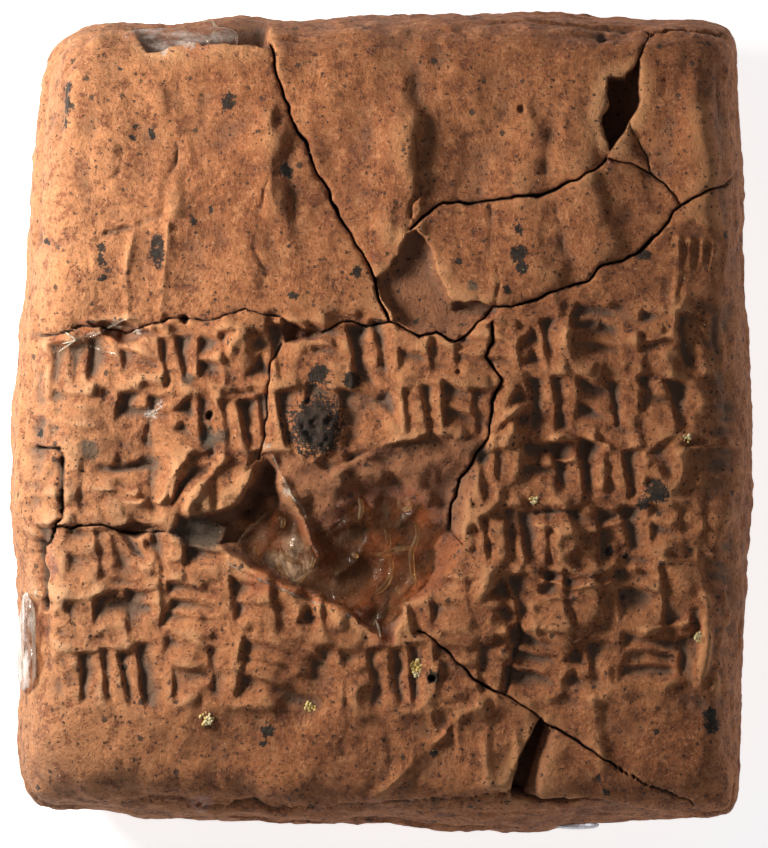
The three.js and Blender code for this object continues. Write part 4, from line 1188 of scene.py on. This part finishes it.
THREAD_SIDES = 6
POOL_FOLDS = [
    [[0.05, -0.18], [0.05, -0.21], [0.07, -0.215], [0.08, -0.2], [0.075, -0.185], [0.06, -0.19]],
    [[0.09, -0.24], [0.1, -0.27], [0.09, -0.3], [0.08, -0.32], [0.085, -0.37], [0.1, -0.41]],
    [[0.01, -0.26], [0.02, -0.28], [0.02, -0.3], [0.01, -0.32]],
    [[-0.03, -0.32], [0.0, -0.325], [0.04, -0.31], [0.09, -0.305]],
    [[0.02, -0.32], [0.03, -0.35], [0.02, -0.39], [0.0, -0.41], [-0.02, -0.42]],
    [[0.04, -0.4], [0.05, -0.42]], [[-0.08, -0.32], [-0.06, -0.33]],
    [[-0.28, -0.24], [-0.265, -0.23], [-0.26, -0.25], [-0.27, -0.26]],
    [[-0.28, -0.34], [-0.26, -0.38], [-0.22, -0.39], [-0.2, -0.37]],
    [[-0.27, -0.31], [-0.24, -0.34], [-0.21, -0.345]], [[-0.2, -0.3], [-0.18, -0.33], [-0.19, -0.36]],
    [[-0.06, -0.18], [-0.05, -0.21], [-0.06, -0.24]], [[-0.34, -0.3], [-0.33, -0.33]],
]
CLAY_THREADS = [
    [[-0.29, -0.08], [-0.27, -0.12], [-0.24, -0.18], [-0.21, -0.21], [-0.19, -0.26], [-0.16, -0.28]],
    [[-0.42, -0.34], [-0.36, -0.37], [-0.31, -0.39], [-0.26, -0.41], [-0.21, -0.43], [-0.15, -0.45]],
    [[-0.88, 0.23], [-0.81, 0.19], [-0.74, 0.17], [-0.69, 0.16]],
    [[-0.87, 0.19], [-0.78, 0.21], [-0.7, 0.25], [-0.66, 0.25]],
    [[-0.88, 0.17], [-0.83, 0.2], [-0.78, 0.22], [-0.75, 0.2], [-0.73, 0.17]],
    [[-0.63, 0.0], [-0.62, 0.02], [-0.6, 0.03], [-0.58, 0.04]],
    [[-0.49, 0.985], [-0.47, 0.99], [-0.45, 0.97], [-0.47, 0.93], [-0.49, 0.95]],
    [[-0.02, -0.5], [-0.01, -0.47], [0.02, -0.455]], [[0.0, -0.53], [-0.01, -0.49], [-0.03, -0.47]],
    ring_path(-0.93, -0.42, 0.28), ring_path(-0.935, 0.33, 0.2),
]


def node_middle_and_half(node, outgrow=(1, 1, 1)):
    """A CAD node's middle and half sizes in millimetres, the sizes times a factor for each axis."""
    lowest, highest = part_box(node)
    middle = [(lowest[i] + highest[i]) / 2 / MM for i in range(3)]
    half = [(highest[i] - lowest[i]) / 2 / MM * outgrow[i] for i in range(3)]
    return middle, half


glue = clear_adhesive("clear_adhesive", (0.98, 0.88, 0.74), (0.55, 0.33, 0.19), 0.1, (-5.6, -8.6, 22.3), 2.2)
pale_glue = clear_adhesive("pale_adhesive", (0.97, 0.9, 0.78), (0.62, 0.42, 0.24), 0.22)
dried_glue = clear_adhesive("dried_adhesive", (0.95, 0.9, 0.82), (0.85, 0.74, 0.58), 0.5)
milky_glue = clear_adhesive("milky_adhesive", (0.95, 0.86, 0.8), (0.62, 0.53, 0.47), 0.5,
                            stretch=(0.35, 1, 1))
streaky_glue = clear_adhesive("streaky_adhesive", (0.86, 0.8, 0.75), (0.6, 0.53, 0.46), 0.75,
                              stretch=(1.8, 0.3, 0.6))
bluish_glue = clear_adhesive("bluish_adhesive", (0.9, 0.92, 0.97), (0.8, 0.84, 0.93), 0.8,
                             stretch=(0.5, 1, 1))
dress(glue_pool(), glue, "clear_adhesive", "glue_pool")
for node, finish, outgrow, shift, squareness, lean in [
    ("glue_top_chip", milky_glue, (0.9, 1.0, 0.5), (0, 0, -0.35), 0.7, 0),
    ("glue_left_edge", streaky_glue, (0.6, 1.0, 0.95), (0.4, 0, 0.35), 0.8, 0.22),
    ("glue_bottom_edge", bluish_glue, (0.6, 1.3, 1.0), (-1.1, 0.1, 0), 0.9, 0),
]:
    middle, half = node_middle_and_half(node, outgrow)
    middle = [place + move for place, move in zip(middle, shift)]
    dress(glue_lump(node + "_piece", middle, half, 91, squareness, lean), finish, "clear_adhesive", node)
dress(glue_threads("pool_folds", POOL_FOLDS, 0.17, pool_height), pale_glue, "clear_adhesive")
dress(glue_threads("glue_threads", CLAY_THREADS, 0.08, clay_height), dried_glue, "clear_adhesive")


# Grains: small crystals scattered by a rule over patches and over the whole tablet

def scatter_tree(name):
    """Nodes that set small turned lumps at random places on a surface."""
    tree = bpy.data.node_groups.new(name, "GeometryNodeTree")
    kinds = {"Surface": "Geometry", "Density": "Float", "Smallest": "Float", "Largest": "Float",
             "Seed": "Int",
             "Finish": "Material"}
    for label, kind in kinds.items():
        tree.interface.new_socket(label, in_out="INPUT", socket_type="NodeSocket" + kind)
    tree.interface.new_socket("Grains", in_out="OUTPUT", socket_type="NodeSocketGeometry")
    inputs = tree.nodes.new("NodeGroupInput").outputs
    result = tree.nodes.new("NodeGroupOutput")
    spread = tree.nodes.new("GeometryNodeDistributePointsOnFaces")
    lump = tree.nodes.new("GeometryNodeMeshIcoSphere")
    lump.inputs["Radius"].default_value = 1
    size = tree.nodes.new("FunctionNodeRandomValue")
    size.data_type = "FLOAT_VECTOR"
    turn = tree.nodes.new("FunctionNodeRandomValue")
    turn.data_type = "FLOAT_VECTOR"
    turn.inputs["Max"].default_value = (6.3, 6.3, 6.3)
    put = tree.nodes.new("GeometryNodeInstanceOnPoints")
    realize = tree.nodes.new("GeometryNodeRealizeInstances")
    paint = tree.nodes.new("GeometryNodeSetMaterial")
    for output, socket in [
        (inputs["Surface"], spread.inputs["Mesh"]), (inputs["Density"], spread.inputs["Density"]),
        (inputs["Seed"], spread.inputs["Seed"]), (inputs["Smallest"], size.inputs["Min"]),
        (inputs["Largest"], size.inputs["Max"]), (inputs["Seed"], size.inputs["Seed"]),
        (inputs["Seed"], turn.inputs["Seed"]), (spread.outputs["Points"], put.inputs["Points"]),
        (lump.outputs["Mesh"], put.inputs["Instance"]), (size.outputs["Value"], put.inputs["Scale"]),
        (turn.outputs["Value"], put.inputs["Rotation"]),
        (put.outputs["Instances"], realize.inputs["Geometry"]),
        (realize.outputs["Geometry"], paint.inputs["Geometry"]), (inputs["Finish"], paint.inputs["Material"]),
        (paint.outputs["Geometry"], result.inputs["Grains"]),
    ]:
        tree.links.new(output, socket)
    return tree


def scatter(name, surface, tree, density, sizes, seed, material):
    """Grains over a surface: density per square millimetre, sizes in millimetres."""
    piece = link_object(name, surface)
    modifier = piece.modifiers.new("scatter", "NODES")
    modifier.node_group = tree
    values = {"Density": density / MM ** 2, "Smallest": sizes[0] * MM, "Largest": sizes[1] * MM, "Seed": seed,
              "Finish": material}
    for socket in tree.interface.items_tree:
        if socket.name in values:
            modifier[socket.identifier] = values[socket.name]
    return settle(piece)


CRYSTALS = [(-0.47, -0.73, 0.45), (0.1, -0.6, 0.6), (0.87, -0.53, 0.35), (0.82, -0.04, 0.25),
            (0.41, -0.19, 0.25),
            (-0.19, -0.7, 0.4)]
PATCH_SIDES = 8


def crystal_patches():
    """Small flat patches on the clay where crystals show."""
    points, faces = [], []
    for u, v, radius in CRYSTALS:
        x, y = plan(np.array(u), np.array(v))
        z = float(clay_height(np.array(u), np.array(v)))
        start = len(points)
        for i in range(PATCH_SIDES):
            turn = 2 * math.pi * i / PATCH_SIDES
            points.append([x + radius * math.cos(turn), y + radius * math.sin(turn), z])
        faces.append([start + i for i in range(PATCH_SIDES)])
    return mesh_from_arrays("crystal_patches", np.array(points), [np.array(faces)])


grains = scatter_tree("grain_scatter")
crystals = scatter("crystal_grains", crystal_patches(), grains, 70, (0.05, 0.17), 5, grain_finish())
dress(crystals, grain_finish(), "fired_clay")
pale_grains = scatter("pale_grains", tablet.data.copy(), grains, 0.05, (0.02, 0.06), 9, grain_finish())
dress(pale_grains, grain_finish(), "fired_clay")

# Floor, light and camera

bpy.ops.mesh.primitive_plane_add(size=4)
floor = bpy.context.object
floor.name = "floor"
floor.data.materials.append(floor_finish())

PHOTO_WIDTH, PHOTO_HEIGHT = 768, 848
PIXELS_PER_MM = 15.6
CENTRE_PIXEL = (381, 422)
CAMERA_HEIGHT = 1200.0
SENSOR_WIDTH = 36
camera = link_object("camera", bpy.data.cameras.new("camera"))
camera.data.sensor_width = SENSOR_WIDTH
camera.data.lens = SENSOR_WIDTH * (CAMERA_HEIGHT - EQUATOR) / (PHOTO_HEIGHT / PIXELS_PER_MM)
offset_x = (PHOTO_WIDTH / 2 - CENTRE_PIXEL[0]) / PIXELS_PER_MM
offset_y = (CENTRE_PIXEL[1] - PHOTO_HEIGHT / 2) / PIXELS_PER_MM
camera.location = (offset_x * MM, offset_y * MM, CAMERA_HEIGHT * MM)
bpy.context.scene.camera = camera


def area_light(name, place, target, width, height, power, color):
    """An oval lamp at a place, aimed at another, all in millimetres, with its power in watts."""
    data = bpy.data.lights.new(name, "AREA")
    data.shape = "ELLIPSE"
    data.size = width * MM
    data.size_y = height * MM
    data.energy = power
    data.color = color
    light = link_object(name, data)
    light.location = [value * MM for value in place]
    light.rotation_euler = (Vector(target) * MM - light.location).to_track_quat("-Z", "Y").to_euler()
    return light


area_light("key", place=(-71, 24, 54), target=(-4, 0, 22), width=44, height=20, power=0.121,
           color=(1, 1, 0.97))
area_light("fill", place=(160, -60, 190), target=(0, 0, 20), width=120, height=120, power=0.035,
           color=(1, 1, 1))
world = bpy.data.worlds.new("room")
bpy.context.scene.world = world
world.use_nodes = True
room_light = world.node_tree.nodes["Background"].inputs
room_light["Color"].default_value = (0.9, 0.98, 1.08, 1)
room_light["Strength"].default_value = 0.125
bpy.context.scene.view_settings.view_transform = "Standard"
